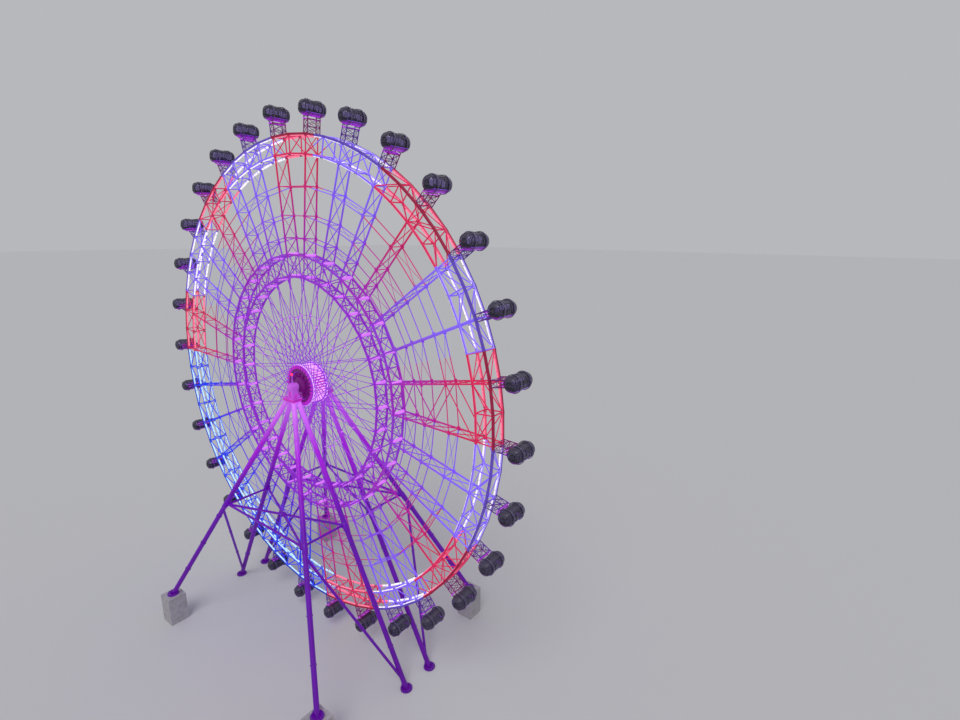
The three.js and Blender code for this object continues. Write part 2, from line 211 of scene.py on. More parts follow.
class WheelColours(bpy.types.PropertyGroup):
    """Colours of the lights, and of their light painted into the colour of the steel that they wash over."""

    red_tube: bpy.props.FloatVectorProperty(
        name="Red tube", description="Light of a red tube",
        subtype="COLOR", default=(1.0, 0.2, 0.32), min=0, max=1,
    )
    # Painted light: the red tubes' light on the white steel beside them
    red_paint: bpy.props.FloatVectorProperty(
        name="Red wash", description="Paint beside the red tubes",
        subtype="COLOR", default=(0.58, 0.012, 0.09), min=0, max=1,
    )
    white_tube: bpy.props.FloatVectorProperty(
        name="White tube", description="Light of a white tube",
        subtype="COLOR", default=(0.95, 0.9, 1.0), min=0, max=1,
    )
    # Painted light: the white tubes' light, violet on the steel beside them
    white_paint: bpy.props.FloatVectorProperty(
        name="Violet wash", description="Paint beside the white tubes",
        subtype="COLOR", default=(0.22, 0.12, 0.86), min=0, max=1,
    )
    blue_tube: bpy.props.FloatVectorProperty(
        name="Blue tube", description="Light of a blue tube",
        subtype="COLOR", default=(0.5, 0.78, 1.0), min=0, max=1,
    )
    # Painted light: the blue tubes' light on the steel beside them
    blue_paint: bpy.props.FloatVectorProperty(
        name="Blue wash", description="Paint beside the blue tubes",
        subtype="COLOR", default=(0.004, 0.03, 0.8), min=0, max=1,
    )
    # Painted light: the magenta light round the hub, on the strong ring and its surroundings
    magenta: bpy.props.FloatVectorProperty(
        name="Magenta wash", description="Paint of the strong ring and the hub's surroundings",
        subtype="COLOR", default=(0.27, 0.02, 0.54), min=0, max=1,
    )
    # Painted light: the brightest light near the hub, also given as a glow
    pink: bpy.props.FloatVectorProperty(
        name="Pink glow", description="Brightest paint, at the hub and on the drums",
        subtype="COLOR", default=(0.75, 0.22, 0.95), min=0, max=1,
    )
    # Painted light: the hub's light on the legs a little below it
    orchid: bpy.props.FloatVectorProperty(
        name="Orchid wash", description="Paint of the legs a little below the hub",
        subtype="COLOR", default=(0.35, 0.01, 0.62), min=0, max=1,
    )
    # Painted shade: the legs at the level frame, where less of the hub's light reaches
    violet: bpy.props.FloatVectorProperty(
        name="Violet shade", description="Paint of the legs at the level frame",
        subtype="COLOR", default=(0.115, 0.002, 0.36), min=0, max=1,
    )
    # Painted shade: the legs near the ground, furthest from the lights
    purple: bpy.props.FloatVectorProperty(
        name="Purple shade", description="Paint of the legs near the ground",
        subtype="COLOR", default=(0.085, 0.001, 0.225), min=0, max=1,
    )
    studio: bpy.props.FloatVectorProperty(
        name="Studio", description="Floor and surroundings of the studio",
        subtype="COLOR", default=(0.6, 0.6, 0.61), min=0, max=1,
    )


def sizes():
    return bpy.context.scene.wheel_sizes


def colours():
    return bpy.context.scene.wheel_colours


def polar(radius, angle, y):
    """A point of the wheel from its distance to the axis, its angle and its place along the axis."""
    return Vector((radius * math.cos(angle), y, HUB.z + radius * math.sin(angle)))


def outward(angle):
    return Vector((math.cos(angle), 0, math.sin(angle)))


def onward(angle):
    return Vector((-math.sin(angle), 0, math.cos(angle)))


def wheel_axes(angle, along):
    """Axes of a block at an angle of the wheel: onward, outward and a direction along the axle."""
    return onward(angle), outward(angle), along


def panel_angle(panel):
    return REST_ANGLE + panel * PANEL_STEP


def station_angle(station):
    return REST_ANGLE + station * STATION_STEP


def sector_stations(sector):
    return range(sector * STATIONS_PER_SECTOR, (sector + 1) * STATIONS_PER_SECTOR)


def sector_panels(sector):
    return range(sector * PANELS_PER_SECTOR, (sector + 1) * PANELS_PER_SECTOR)


def circle(radius, sides, turn=0.0):
    """Corners of a round section, as pairs."""
    angles = [turn + 2 * math.pi * i / sides for i in range(sides)]
    return [(radius * math.cos(angle), radius * math.sin(angle)) for angle in angles]


def chamfered(half_a, half_b, cut):
    """Corners of a rectangular section with its corners cut, as pairs."""
    return [
        (half_a, half_b - cut), (half_a - cut, half_b), (cut - half_a, half_b), (-half_a, half_b - cut),
        (-half_a, cut - half_b), (cut - half_a, -half_b), (half_a - cut, -half_b), (half_a, cut - half_b),
    ]


def square_axes(along):
    """Two directions square to a third and to each other."""
    helper = ALONG if abs(along.y) < 0.9 else UP
    first = along.cross(helper).normalized()
    return first, first.cross(along).normalized()


class Shape:
    """The points and faces of one piece, gathered part by part, with the name of each face's finish."""

    def __init__(self, look):
        self.look = look
        self.points = []
        self.faces = []
        self.looks = []

    def loft(self, rings, look=None, closed=False, side_looks=None):
        """Skins a row of rings of points, with flat ends unless the row closes on itself."""
        look = look or self.look
        sides = len(rings[0])
        count = len(rings)
        bands = count if closed else count - 1
        faces = []
        for ring in range(bands):
            low = ring * sides
            high = ((ring + 1) % count) * sides
            for i in range(sides):
                j = (i + 1) % sides
                faces.append((low + i, low + j, high + j, high + i))
        looks = (side_looks or [look] * sides) * bands
        if not closed:
            faces.append(tuple(reversed(range(sides))))
            faces.append(tuple((count - 1) * sides + i for i in range(sides)))
            looks += [look, look]
        first = len(self.points)
        self.points.extend(point for ring in rings for point in ring)
        self.faces.extend(tuple(first + index for index in face) for face in faces)
        self.looks.extend(looks)

    def bar(self, start, end, radius, sides=6, look=None, end_radius=None):
        """A straight round bar, or a cone with another radius at its end."""
        a, b = square_axes((end - start).normalized())
        radii = (radius, radius if end_radius is None else end_radius)
        rings = [
            [point + a * p + b * q for p, q in circle(size, sides)]
            for point, size in zip((start, end), radii)
        ]
        self.loft(rings, look)

    def sweep(self, points, section, reference, look=None, side_looks=None):
        """Carries a section along a path; its second coordinate runs along the reference."""
        rings = []
        for i, point in enumerate(points):
            before = points[max(i - 1, 0)]
            after = points[min(i + 1, len(points) - 1)]
            side = (after - before).normalized().cross(reference).normalized()
            rings.append([point + side * p + reference * q for p, q in section])
        self.loft(rings, look, side_looks=side_looks)

    def block(self, centre, size, axes=None, look=None, cut=0.0):
        """A box with its long edges cut, turned to three axes of its own."""
        a, b, c = axes or (ACROSS, ALONG, UP)
        x, y, z = (length / 2 for length in size)
        section = chamfered(x, y, cut) if cut else [(x, y), (-x, y), (-x, -y), (x, -y)]
        self.loft([[centre + a * p + b * q + c * h for p, q in section] for h in (-z, z)], look)

    def turned(self, profile, centre, axis, sides=24, look=None):
        """Turns a row of (radius, height) pairs about an axis, with flat ends."""
        a, b = square_axes(axis)
        rings = [
            [centre + axis * height + a * p + b * q for p, q in circle(radius, sides)]
            for radius, height in profile
        ]
        self.loft(rings, look)

    def turned_ring(self, profile, centre, axis, sides, look=None):
        """Turns a closed row of (radius, height) pairs about an axis that lies along the axle."""
        rays = [outward(2 * math.pi * i / sides) for i in range(sides)]
        rings = [[centre + out * radius + axis * height for radius, height in profile] for out in rays]
        self.loft(rings, look, closed=True)

    def hoop(self, centre, axis, radius, section, sides=32, look=None):
        """A closed ring about an axis; the section is (outward, along the axis)."""
        a, b = square_axes(axis)
        rings = []
        for c, s in circle(1.0, sides):
            out = a * c + b * s
            rings.append([centre + out * (radius + p) + axis * q for p, q in section])
        self.loft(rings, look, closed=True)

    def bolts(self, centre, axis, radius, count, size, length):
        """A circle of hexagon bolt heads that stand along the axis."""
        a, b = square_axes(axis)
        for c, s in circle(radius, count):
            foot = centre + a * c + b * s
            self.bar(foot, foot + axis * length, size, 6, "Bolt steel")


# Edges that turn by more than this stay crisp under smooth shading
SHARP_EDGE_DEG = 40


def make_mesh(name, shape):
    """Turns a shape into a mesh that faces outwards, with its finishes and sharp edges."""
    mesh = bpy.data.meshes.new(name)
    mesh.from_pydata([tuple(point) for point in shape.points], [], shape.faces)
    looks = list(dict.fromkeys(shape.looks))
    for look in looks:
        mesh.materials.append(finish(look))
    mesh.polygons.foreach_set("material_index", [looks.index(look) for look in shape.looks])
    work = bmesh.new()
    work.from_mesh(mesh)
    bmesh.ops.recalc_face_normals(work, faces=work.faces)
    work.to_mesh(mesh)
    work.free()
    mesh.shade_smooth()
    mesh.set_sharp_from_angle(angle=math.radians(SHARP_EDGE_DEG))
    return mesh


def show(name, mesh, body, place=(0, 0, 0), replaced=()):
    """Puts a mesh in the scene as a piece that rides on a body."""
    piece = bpy.data.objects.new(name, mesh)
    bpy.context.scene.collection.objects.link(piece)
    piece.location = place
    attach(piece, body)
    if replaced:
        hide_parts(*replaced)


def make_piece(name, shape, body, replaced=()):
    show(name, make_mesh(name, shape), body, replaced=replaced)


class Wiring:
    """Adds and links the nodes of one material or node group."""

    def __init__(self, tree):
        self.tree = tree

    def node(self, kind, **settings):
        made = self.tree.nodes.new(kind)
        for name, value in settings.items():
            setattr(made, name, value)
        return made

    def join(self, source, target):
        if isinstance(source, bpy.types.NodeSocket):
            self.tree.links.new(source, target)
        else:
            target.default_value = source

    def place(self):
        """Where a point lies on its piece."""
        return self.node("ShaderNodeTexCoord").outputs["Object"]

    def split_place(self):
        """X, Y and Z of where a point lies on its piece."""
        split = self.node("ShaderNodeSeparateXYZ")
        self.join(self.place(), split.inputs["Vector"])
        return split.outputs

    def maths(self, operation, *values):
        made = self.node("ShaderNodeMath", operation=operation)
        for value, socket in zip(values, made.inputs):
            self.join(value, socket)
        return made.outputs["Value"]

    def spread(self, value, low, high):
        """Maps low..high to 0..1, held at both ends."""
        made = self.node("ShaderNodeMapRange", clamp=True)
        self.join(value, made.inputs["Value"])
        self.join(low, made.inputs["From Min"])
        self.join(high, made.inputs["From Max"])
        return made.outputs["Result"]

    def mixed(self, share, first, second):
        made = self.node("ShaderNodeMix", data_type="RGBA")
        self.join(share, made.inputs["Factor"])
        for value, socket in ((first, made.inputs["A"]), (second, made.inputs["B"])):
            self.join(value, socket)
        return made.outputs["Result"]

    def dimmed(self, colour, share):
        """A colour times one number for all its channels, or times another colour."""
        made = self.node("ShaderNodeMix", data_type="RGBA", blend_type="MULTIPLY")
        made.inputs["Factor"].default_value = 1.0
        self.join(colour, made.inputs["A"])
        self.join((share, share, share, 1.0) if isinstance(share, float) else share, made.inputs["B"])
        return made.outputs["Result"]

    def noise(self, scale, detail, vector=None):
        made = self.node("ShaderNodeTexNoise")
        made.inputs["Scale"].default_value = scale
        made.inputs["Detail"].default_value = detail
        if vector is not None:
            self.join(vector, made.inputs["Vector"])
        return made.outputs["Fac"]


def rgba(colour, share=1.0):
    return (*[channel * share for channel in colour], 1.0)


def new_group(name, inputs, outputs):
    """A shader node group with named sockets, built once."""
    group = bpy.data.node_groups.new(name, "ShaderNodeTree")
    for label, kind, default in inputs:
        socket = group.interface.new_socket(label, in_out="INPUT", socket_type=kind)
        socket.default_value = default
    for label, kind in outputs:
        group.interface.new_socket(label, in_out="OUTPUT", socket_type=kind)
    wiring = Wiring(group)
    return group, wiring, wiring.node("NodeGroupInput"), wiring.node("NodeGroupOutput")


def sector_colours(wiring, turn):
    """Tube colours, and their light painted on the steel beside them, changing from sector to sector as the
    turn goes from 0 to 1.
    """
    first_panel, first_name = LIGHT_SECTORS[0]
    found = {suffix: rgba(getattr(colours(), f"{first_name}_{suffix}")) for suffix in ("tube", "paint")}
    for panel, name in LIGHT_SECTORS[1:]:
        reached = wiring.maths("GREATER_THAN", turn, (panel - first_panel) / PANEL_COUNT)
        for suffix, before in found.items():
            found[suffix] = wiring.mixed(reached, before, rgba(getattr(colours(), f"{name}_{suffix}")))
    return found["tube"], found["paint"]


def light_sector_group():
    """Colour of the tubes, and their light painted into the steel beside them by the angle round the hub,
    giving way to the hub's painted magenta light nearer the hub.
    """
    group, wiring, given, wanted = new_group(
        "Light sectors",
        [
            ("Inner colour", "NodeSocketColor", rgba(colours().magenta)),
            ("Inner radius", "NodeSocketFloat", 2.9),
            ("Outer radius", "NodeSocketFloat", 5.0),
        ],
        [("Tube", "NodeSocketColor"), ("Paint", "NodeSocketColor")],
    )
    place = wiring.split_place()
    across = place["X"]
    height = wiring.maths("SUBTRACT", place["Z"], HUB.z)
    angle = wiring.maths("ARCTAN2", height, across)
    start = panel_angle(LIGHT_SECTORS[0][0])
    turns = wiring.maths("DIVIDE", wiring.maths("SUBTRACT", angle, start), 2 * math.pi)
    tube, paint = sector_colours(wiring, wiring.maths("FRACT", turns))
    squares = [wiring.maths("POWER", wiring.maths("ABSOLUTE", value), 2.0) for value in (height, across)]
    radius = wiring.maths("SQRT", wiring.maths("ADD", *squares))
    share = wiring.spread(radius, given.outputs["Inner radius"], given.outputs["Outer radius"])
    wiring.join(tube, wanted.inputs["Tube"])
    wiring.join(wiring.mixed(share, given.outputs["Inner colour"], paint), wanted.inputs["Paint"])
    return group


def weather_group():
    """Dust and uneven gloss of outdoor paint, with a fine height for its bump."""
    group, wiring, given, wanted = new_group(
        "Weathered paint",
        [
            ("Patch scale", "NodeSocketFloat", 6.0),
            ("Grain scale", "NodeSocketFloat", 160.0),
            ("Smoothest", "NodeSocketFloat", 0.3),
            ("Roughest", "NodeSocketFloat", 0.55),
        ],
        [("Dust", "NodeSocketFloat"), ("Roughness", "NodeSocketFloat"), ("Height", "NodeSocketFloat")],
    )
    place = wiring.place()
    patches = wiring.node("ShaderNodeTexNoise")
    grain = wiring.node("ShaderNodeTexNoise")
    for texture, scale, detail in ((patches, "Patch scale", 5.0), (grain, "Grain scale", 2.0)):
        wiring.join(place, texture.inputs["Vector"])
        wiring.join(given.outputs[scale], texture.inputs["Scale"])
        texture.inputs["Detail"].default_value = detail
    dust = wiring.spread(patches.outputs["Fac"], 0.45, 0.75)
    gloss = wiring.node("ShaderNodeMapRange", clamp=True)
    wiring.join(patches.outputs["Fac"], gloss.inputs["Value"])
    wiring.join(given.outputs["Smoothest"], gloss.inputs["To Min"])
    wiring.join(given.outputs["Roughest"], gloss.inputs["To Max"])
    wiring.join(dust, wanted.inputs["Dust"])
    wiring.join(gloss.outputs["Result"], wanted.inputs["Roughness"])
    wiring.join(grain.outputs["Fac"], wanted.inputs["Height"])
    return group


def shared_group(name):
    """Finds a node group by name, or builds it."""
    builders = {"Light sectors": light_sector_group, "Weathered paint": weather_group}
    return bpy.data.node_groups.get(name) or builders[name]()


def group_node(wiring, name, **values):
    made = wiring.node("ShaderNodeGroup", node_tree=shared_group(name))
    for label, value in values.items():
        made.inputs[label.replace("_", " ")].default_value = value
    return made.outputs


def new_material(name, specular=0.5):
    material = bpy.data.materials.new(name)
    material.use_nodes = True
    wiring = Wiring(material.node_tree)
    shader = material.node_tree.nodes["Principled BSDF"].inputs
    shader["Specular IOR Level"].default_value = specular
    return material, wiring, shader


# Depth of the finest relief, and the specular level of paint that is lit by the wheel's own lights
BUMP_DEPTH = 0.002
LIT_SPECULAR = 0.3


def weathered(wiring, shader, colour, dusty_share=0.7, bump=0.1, **values):
    """Feeds a colour through dust, uneven gloss and fine bump into the shader."""
    weather = group_node(wiring, "Weathered paint", **values)
    if isinstance(colour, bpy.types.NodeSocket):
        dusty = wiring.dimmed(colour, dusty_share)
    else:
        dusty = rgba(colour, dusty_share)
        colour = rgba(colour)
    wiring.join(wiring.mixed(weather["Dust"], colour, dusty), shader["Base Color"])
    wiring.join(weather["Roughness"], shader["Roughness"])
    relief = wiring.node("ShaderNodeBump")
    relief.inputs["Strength"].default_value = bump
    relief.inputs["Distance"].default_value = BUMP_DEPTH
    wiring.join(weather["Height"], relief.inputs["Height"])
    wiring.join(relief.outputs["Normal"], shader["Normal"])


def sector_lit_paint(name, inner_radius, outer_radius, glow, share=1.0, tube_share=0.0):
    """Steel paint with the nearest lights' colour painted in, glowing with that painted light.

    It is dimmed by one share, which paints shade, and paled by the other towards the lights' own colour.
    """
    material, wiring, shader = new_material(name, LIT_SPECULAR)
    light = group_node(
        wiring, "Light sectors", Inner_radius=inner_radius, Outer_radius=outer_radius,
        Inner_colour=rgba(colours().magenta),
    )
    paint = light["Paint"] if share == 1.0 else wiring.dimmed(light["Paint"], share)
    if tube_share:
        paint = wiring.mixed(tube_share, paint, light["Tube"])
    weathered(wiring, shader, paint, Smoothest=0.28, Roughest=0.5)
    wiring.join(paint, shader["Emission Color"])
    shader["Emission Strength"].default_value = glow
    return material


def tube_finish(name):
    """Lighting tube, by sector, with brighter and dimmer lamps along it."""
    material, wiring, shader = new_material(name)
    light = group_node(wiring, "Light sectors")
    lamps = wiring.spread(wiring.noise(22.0, 1.0, wiring.place()), 0.35, 0.65)
    brightness = wiring.mixed(lamps, (0.82, 0.82, 0.82, 1.0), (1.0, 1.0, 1.0, 1.0))
    wiring.join(wiring.dimmed(light["Tube"], brightness), shader["Emission Color"])
    wiring.join(wiring.dimmed(light["Tube"], 0.4), shader["Base Color"])
    shader["Emission Strength"].default_value = 1.0
    shader["Roughness"].default_value = 0.2
    return material


def plain_finish(name, colour, smoothest, roughest, metallic=0.0, patch_scale=8.0, specular=0.5):
    """One even colour with dust, uneven gloss and grain."""
    material, wiring, shader = new_material(name, specular)
    weathered(wiring, shader, colour, Patch_scale=patch_scale, Smoothest=smoothest, Roughest=roughest)
    shader["Metallic"].default_value = metallic
    return material


def glowing_finish(name, colour, glow, smoothest=0.3, roughest=0.5, metallic=0.0):
    """An even colour that also shines a little, as paint does under coloured floodlights."""
    material = plain_finish(name, colour, smoothest, roughest, metallic, specular=LIT_SPECULAR)
    shader = material.node_tree.nodes["Principled BSDF"].inputs
    shader["Emission Color"].default_value = rgba(colour)
    shader["Emission Strength"].default_value = glow
    return material


def leg_lit_paint(name):
    """Painted light by height: pink under the hub, orchid and violet further down, and purple near the
    ground, where it is painted shade.
    """
    material, wiring, shader = new_material(name, LIT_SPECULAR)
    ramp = wiring.node("ShaderNodeValToRGB")
    wiring.join(wiring.spread(wiring.split_place()["Z"], 0.0, HUB.z), ramp.inputs["Fac"])
    stops = ramp.color_ramp.elements
    stops[0].color = rgba(colours().purple)
    stops[1].color = rgba(colours().pink)
    for position, shade in ((0.58, colours().violet), (0.78, colours().orchid)):
        stops.new(position).color = rgba(shade)
    weathered(wiring, shader, ramp.outputs["Color"], Patch_scale=3.0, Smoothest=0.26, Roughest=0.46)
    # The painted light also glows from the legs
    wiring.join(ramp.outputs["Color"], shader["Emission Color"])
    shader["Emission Strength"].default_value = 0.4
    return material


def concrete(name):
    """Cast concrete with grain and damp patches."""
    material, wiring, shader = new_material(name)
    weathered(
        wiring, shader, (0.42, 0.40, 0.43), 0.72, 0.6,
        Patch_scale=9.0, Grain_scale=90.0, Smoothest=0.75, Roughest=0.95,
    )
    return material


def cabin_glass(name):
    """Violet tinted glass."""
    material, wiring, shader = new_material(name)
    tint = wiring.mixed(wiring.noise(3.0, 1.0), rgba((0.42, 0.36, 0.6)), rgba((0.5, 0.45, 0.68)))
    wiring.join(tint, shader["Base Color"])
    shader["Roughness"].default_value = 0.04
    shader["Transmission Weight"].default_value = 0.92
    shader["IOR"].default_value = 1.3
    return material


def cabin_hull(name):
    """Dark shell whose belly takes the magenta light of the lamps below it."""
    material, wiring, shader = new_material(name, LIT_SPECULAR)
    radius = sizes().cabin
    shade = wiring.spread(wiring.split_place()["Z"], -1.0 * radius, -0.62 * radius)
    lit, dark = rgba((0.3, 0.02, 0.55)), rgba((0.03, 0.025, 0.05))
    weathered(wiring, shader, wiring.mixed(shade, lit, dark), Patch_scale=12.0, Smoothest=0.2, Roughest=0.4)
    wiring.join(wiring.mixed(shade, lit, rgba((0.0, 0.0, 0.0))), shader["Emission Color"])
    shader["Emission Strength"].default_value = 0.8
    return material


# Radii between which the painted magenta light near the hub gives way to the painted light of the sectors
RIM_WASH = (4.0, 4.9)
STAND_WASH = (4.9, 6.3)
WEB_WASH = (2.7, 4.7)


def finish_recipes():
    """For each finish, the function that makes it and the values that it takes after the name.

    A sector paint takes the radii of its wash, its glow and its two shares. A glowing finish takes its
    colour, its glow, its least and greatest roughness and its metal. A plain one takes the same without
    the glow, and then the scale of its patches.
    """
    return {
        # Painted light of the sectors on the rim's steel, glowing; the shade copy is painted shade on the
        # faces away from the lights and the glow copy the brightest painted light
        "Rim paint": (sector_lit_paint, (*RIM_WASH, 0.45)),
        "Rim shade": (sector_lit_paint, (*RIM_WASH, 0.35, 0.5)),
        "Rim glow": (sector_lit_paint, (*RIM_WASH, 0.5, 1.0, 0.25)),
        # The stands and the web take the sectors' painted light too; the stands are dimmed as painted shade
        "Stand paint": (sector_lit_paint, (*STAND_WASH, 0.25, 0.42)),
        "Web paint": (sector_lit_paint, (*WEB_WASH, 0.4)),
        "Stand lamp": (glowing_finish, ((0.5, 0.04, 0.72), 0.9)),
        # Painted light of the hub's lamps on the drums, cables, hub and heads, glowing; the hub's dark copy
        # is painted shade and its brightest copy a painted highlight
        "Drum paint": (glowing_finish, (colours().pink, 0.5)),
        "Cable strand": (glowing_finish, ((0.28, 0.03, 0.6), 0.45, 0.25, 0.4)),
        "Hub paint": (glowing_finish, ((0.5, 0.02, 0.46), 0.45)),
        "Hub shade": (glowing_finish, ((0.15, 0.003, 0.16), 0.3)),
        "Hub rib": (glowing_finish, ((0.86, 0.5, 0.92), 0.6)),
        "Head paint": (glowing_finish, ((0.55, 0.12, 0.72), 0.3)),
        "Cabin light": (glowing_finish, ((0.3, 0.08, 0.95), 0.8)),
        "Beacon": (glowing_finish, ((1.0, 0.02, 0.05), 3.0)),
        "Tube socket": (plain_finish, ((0.22, 0.19, 0.3), 0.35, 0.6)),
        "Hoop steel": (plain_finish, ((0.16, 0.13, 0.24), 0.25, 0.45, 0.5, 30.0)),
        "Bolt steel": (plain_finish, ((0.3, 0.25, 0.36), 0.3, 0.5, 0.8, 40.0)),
        "Spindle steel": (plain_finish, ((0.35, 0.3, 0.4), 0.2, 0.42, 0.85, 14.0)),
        "Cabin frame": (plain_finish, ((0.035, 0.03, 0.055), 0.2, 0.4, 0.2, 12.0)),
        "Cabin roof": (plain_finish, ((0.075, 0.065, 0.11), 0.25, 0.45, 0.2, 12.0)),
        "Cabin floor": (plain_finish, ((0.12, 0.1, 0.16), 0.5, 0.7, 0.0, 30.0)),
        "Cabin seat": (plain_finish, ((0.2, 0.16, 0.26), 0.55, 0.75, 0.0, 30.0)),
        "Cabin hull": (cabin_hull, ()),
        "Cabin glass": (cabin_glass, ()),
        "Tube light": (tube_finish, ()),
        "Leg paint": (leg_lit_paint, ()),
        "Pier concrete": (concrete, ()),
    }


def finish(name):
    """One of the wheel's finishes, made the first time that it is asked for."""
    found = bpy.data.materials.get(name)
    if found:
        return found
    make, values = finish_recipes()[name]
    return make(name, *values)


def rim_lines():
    """Radius and half size of the inner and the outer chords."""
    size = sizes()
    return ((size.rim_inner, size.inner_half), (size.rim_outer, size.outer_half))


def rim_chords(shape, sector):
    """Four box chords that bend at every panel point, dark on the sides away from the lights.

    They begin one panel before the first ladder of the sector.
    """
    size = sizes()
    first = sector * PANELS_PER_SECTOR - 1
    panels = range(first, first + PANELS_PER_SECTOR + 1)
    for side in SIDES:
        for radius, half in rim_lines():
            path = [polar(radius, panel_angle(panel), side * size.half_width) for panel in panels]
            section = chamfered(half, half, half / 5)
            is_outer = radius == size.rim_outer
            looks = [chord_look(section, i, side, is_outer) for i in range(len(section))]
            shape.sweep(path, section, ALONG, side_looks=looks)


def chord_look(section, index, side, is_outer):
    """Finish of one face of a chord.

    On an outer chord, the faces away from the hub and away from the wheel's middle plane are shaded.
    On an inner chord the latter is plain. Every other face catches the light of the tubes.
    """
    (a, b), (c, d) = section[index], section[(index + 1) % len(section)]
    hubward, along_y = a + c, b + d
    faces_out = abs(hubward) > abs(along_y) and hubward < 0
    faces_off = abs(along_y) >= abs(hubward) and along_y * side > 0
    if is_outer:
        return "Rim shade" if faces_out or faces_off else "Rim glow"
    return "Rim paint" if faces_off else "Rim glow"


def rim_bracing(shape, sector):
    """Posts, fans of diagonals and cross ties of the rim's four faces."""
    size = sizes()
    half = size.half_width
    post, tie = size.brace * 1.2, size.brace * 0.8
    for panel in sector_panels(sector):
        here, following = panel_angle(panel), panel_angle(panel + 1)
        at_ladder = panel % 2 == 0
        for side in SIDES:
            y = side * half
            shape.bar(polar(size.rim_inner, here, y), polar(size.rim_outer, here, y), post)
            if at_ladder:
                for step in (-1, 1):
                    far_end = polar(size.rim_outer, panel_angle(panel + step), y)
                    shape.bar(polar(size.rim_inner, here, y), far_end, size.brace)
        lean = half if at_ladder else -half
        for radius in (size.rim_inner, size.rim_outer):
            shape.bar(polar(radius, here, -half), polar(radius, here, half), post)
            shape.bar(polar(radius, here, -lean), polar(radius, following, lean), tie)
        if at_ladder:
            for side in SIDES:
                y = side * half
                shape.bar(polar(size.rim_inner, here, -y), polar(size.rim_outer, here, y), tie)


def chord_plates(shape, sector):
    """Splice plates with bolts where the chords bend."""
    size = sizes()
    length, thickness, corner, gap = 0.09, 0.004, 0.004, 0.002
    bolt_radius, bolt_height = 0.0045, 0.006
    for panel in sector_panels(sector):
        angle = panel_angle(panel)
        on = onward(angle)
        for side in SIDES:
            across = Vector((0, side, 0))
            axes = wheel_axes(angle, across)
            for radius, half in rim_lines():
                look = "Rim shade" if radius == size.rim_outer else "Rim paint"
                centre = polar(radius, angle, side * (size.half_width + half + gap))
                plate = (length, half * 1.7, thickness)
                shape.block(centre, plate, axes, look, corner)
                for step in (-0.033, -0.015, 0.015, 0.033):
                    foot = centre + on * step
                    shape.bar(foot, foot + across * bolt_height, bolt_radius, 6, look)


# A cabin's stand: half its width at the foot and at the head, and how far up its top bars lie
STAND_FOOT_HALF = 0.065
STAND_HEAD_HALF = 0.062
STAND_TOP_SHARE = 0.85

# The hoops round a cabin: from its shell to their middle line, and the rollers inside them
HOOP_GAP = 0.012
ROLLER_COUNT = 8
ROLLER_RADIUS = 0.0025
ROLLER_HALF_LENGTH = 0.008
ROLLER_INSET = 0.0072


def cabin_stand(shape, station):
    """A lattice stand on the outer chords, whose four prongs hold the two hoops of a cabin.

    The cabin rolls level in the hoops, so only their rollers come near it.
    """
    size = sizes()
    angle = station_angle(station)
    out, on = outward(angle), onward(angle)
    centre = polar(CABIN_CIRCLE, angle, 0)
    hoop_radius = size.cabin + HOOP_GAP
    head = centre - out * math.sqrt(hoop_radius**2 - STAND_HEAD_HALF**2)
    foot = polar(size.rim_outer, angle, 0)
    posts = {}
    for side in SIDES:
        for hand in HANDS:
            y = Vector((0, side * size.half_width, 0))
            low = foot + on * hand * STAND_FOOT_HALF + y
            prong = head + on * hand * STAND_HEAD_HALF + y
            shape.bar(low, prong, size.brace * 0.9, look="Stand paint")
            posts[side, hand] = (low, low.lerp(prong, STAND_TOP_SHARE))
    stand_lattice(shape, posts)
    for side in SIDES:
        middle = centre + ALONG * side * size.half_width
        shape.hoop(middle, ALONG, hoop_radius, chamfered(0.006, 0.011, 0.002), 48, "Hoop steel")
        for a, b in circle(hoop_radius - ROLLER_INSET, ROLLER_COUNT, math.pi / ROLLER_COUNT):
            roller = middle + out * a + on * b
            reach = ALONG * ROLLER_HALF_LENGTH
            shape.bar(roller - reach, roller + reach, ROLLER_RADIUS, 8, "Hoop steel")
    stand_lamps(shape, [top for low, top in posts.values()], on)


def stand_lattice(shape, posts):
    """Cross bars and crossing rods on the four faces between a stand's posts."""
    top_bar, middle_bar, rod = (sizes().brace * share for share in (0.8, 0.55, 0.45))
    faces = [((side, -1), (side, 1)) for side in SIDES] + [((NEAR, hand), (FAR, hand)) for hand in HANDS]
    for first, second in faces:
        (low_a, high_a), (low_b, high_b) = posts[first], posts[second]
        middle_a, middle_b = (low_a + high_a) / 2, (low_b + high_b) / 2
        shape.bar(high_a, high_b, top_bar, look="Stand paint")
        shape.bar(middle_a, middle_b, middle_bar, look="Stand paint")
        for start, end in ((low_a, middle_b), (low_b, middle_a), (middle_a, high_b), (middle_b, high_a)):
            shape.bar(start, end, rod, look="Stand paint")


def stand_lamps(shape, tops, on):
    """Two lamp bars along the top of a stand, clipped to a carrier between its cross bars."""
    middle = sum(tops, Vector()) / len(tops)
    lamp_radius, clip_radius, carrier_radius = 0.007, 0.008, 0.006
    apart = 0.03
    reach = Vector((0, 0.2, 0))
    for hand in HANDS:
        lamp = middle + on * hand * apart
        shape.bar(lamp - reach, lamp + reach, lamp_radius, 8, "Stand lamp")
        for share in (-0.73, 0.0, 0.73):
            clip = lamp + reach * share
            inner, outer = clip - on * hand * apart, clip + on * hand * 0.012
            shape.bar(inner, outer, clip_radius, 6, "Stand paint")
    shape.bar(middle - reach * 0.76, middle + reach * 0.76, carrier_radius, 6, "Stand paint")


def build_rim():
    for sector in range(SECTOR_COUNT):
        shape = Shape("Rim paint")
        rim_chords(shape, sector)
        rim_bracing(shape, sector)
        chord_plates(shape, sector)
        for station in sector_stations(sector):
            cabin_stand(shape, station)
        number = sector + 1
        make_piece(f"rim_truss_{number}", shape, "wheel", [f"rim_sector_{number}"])


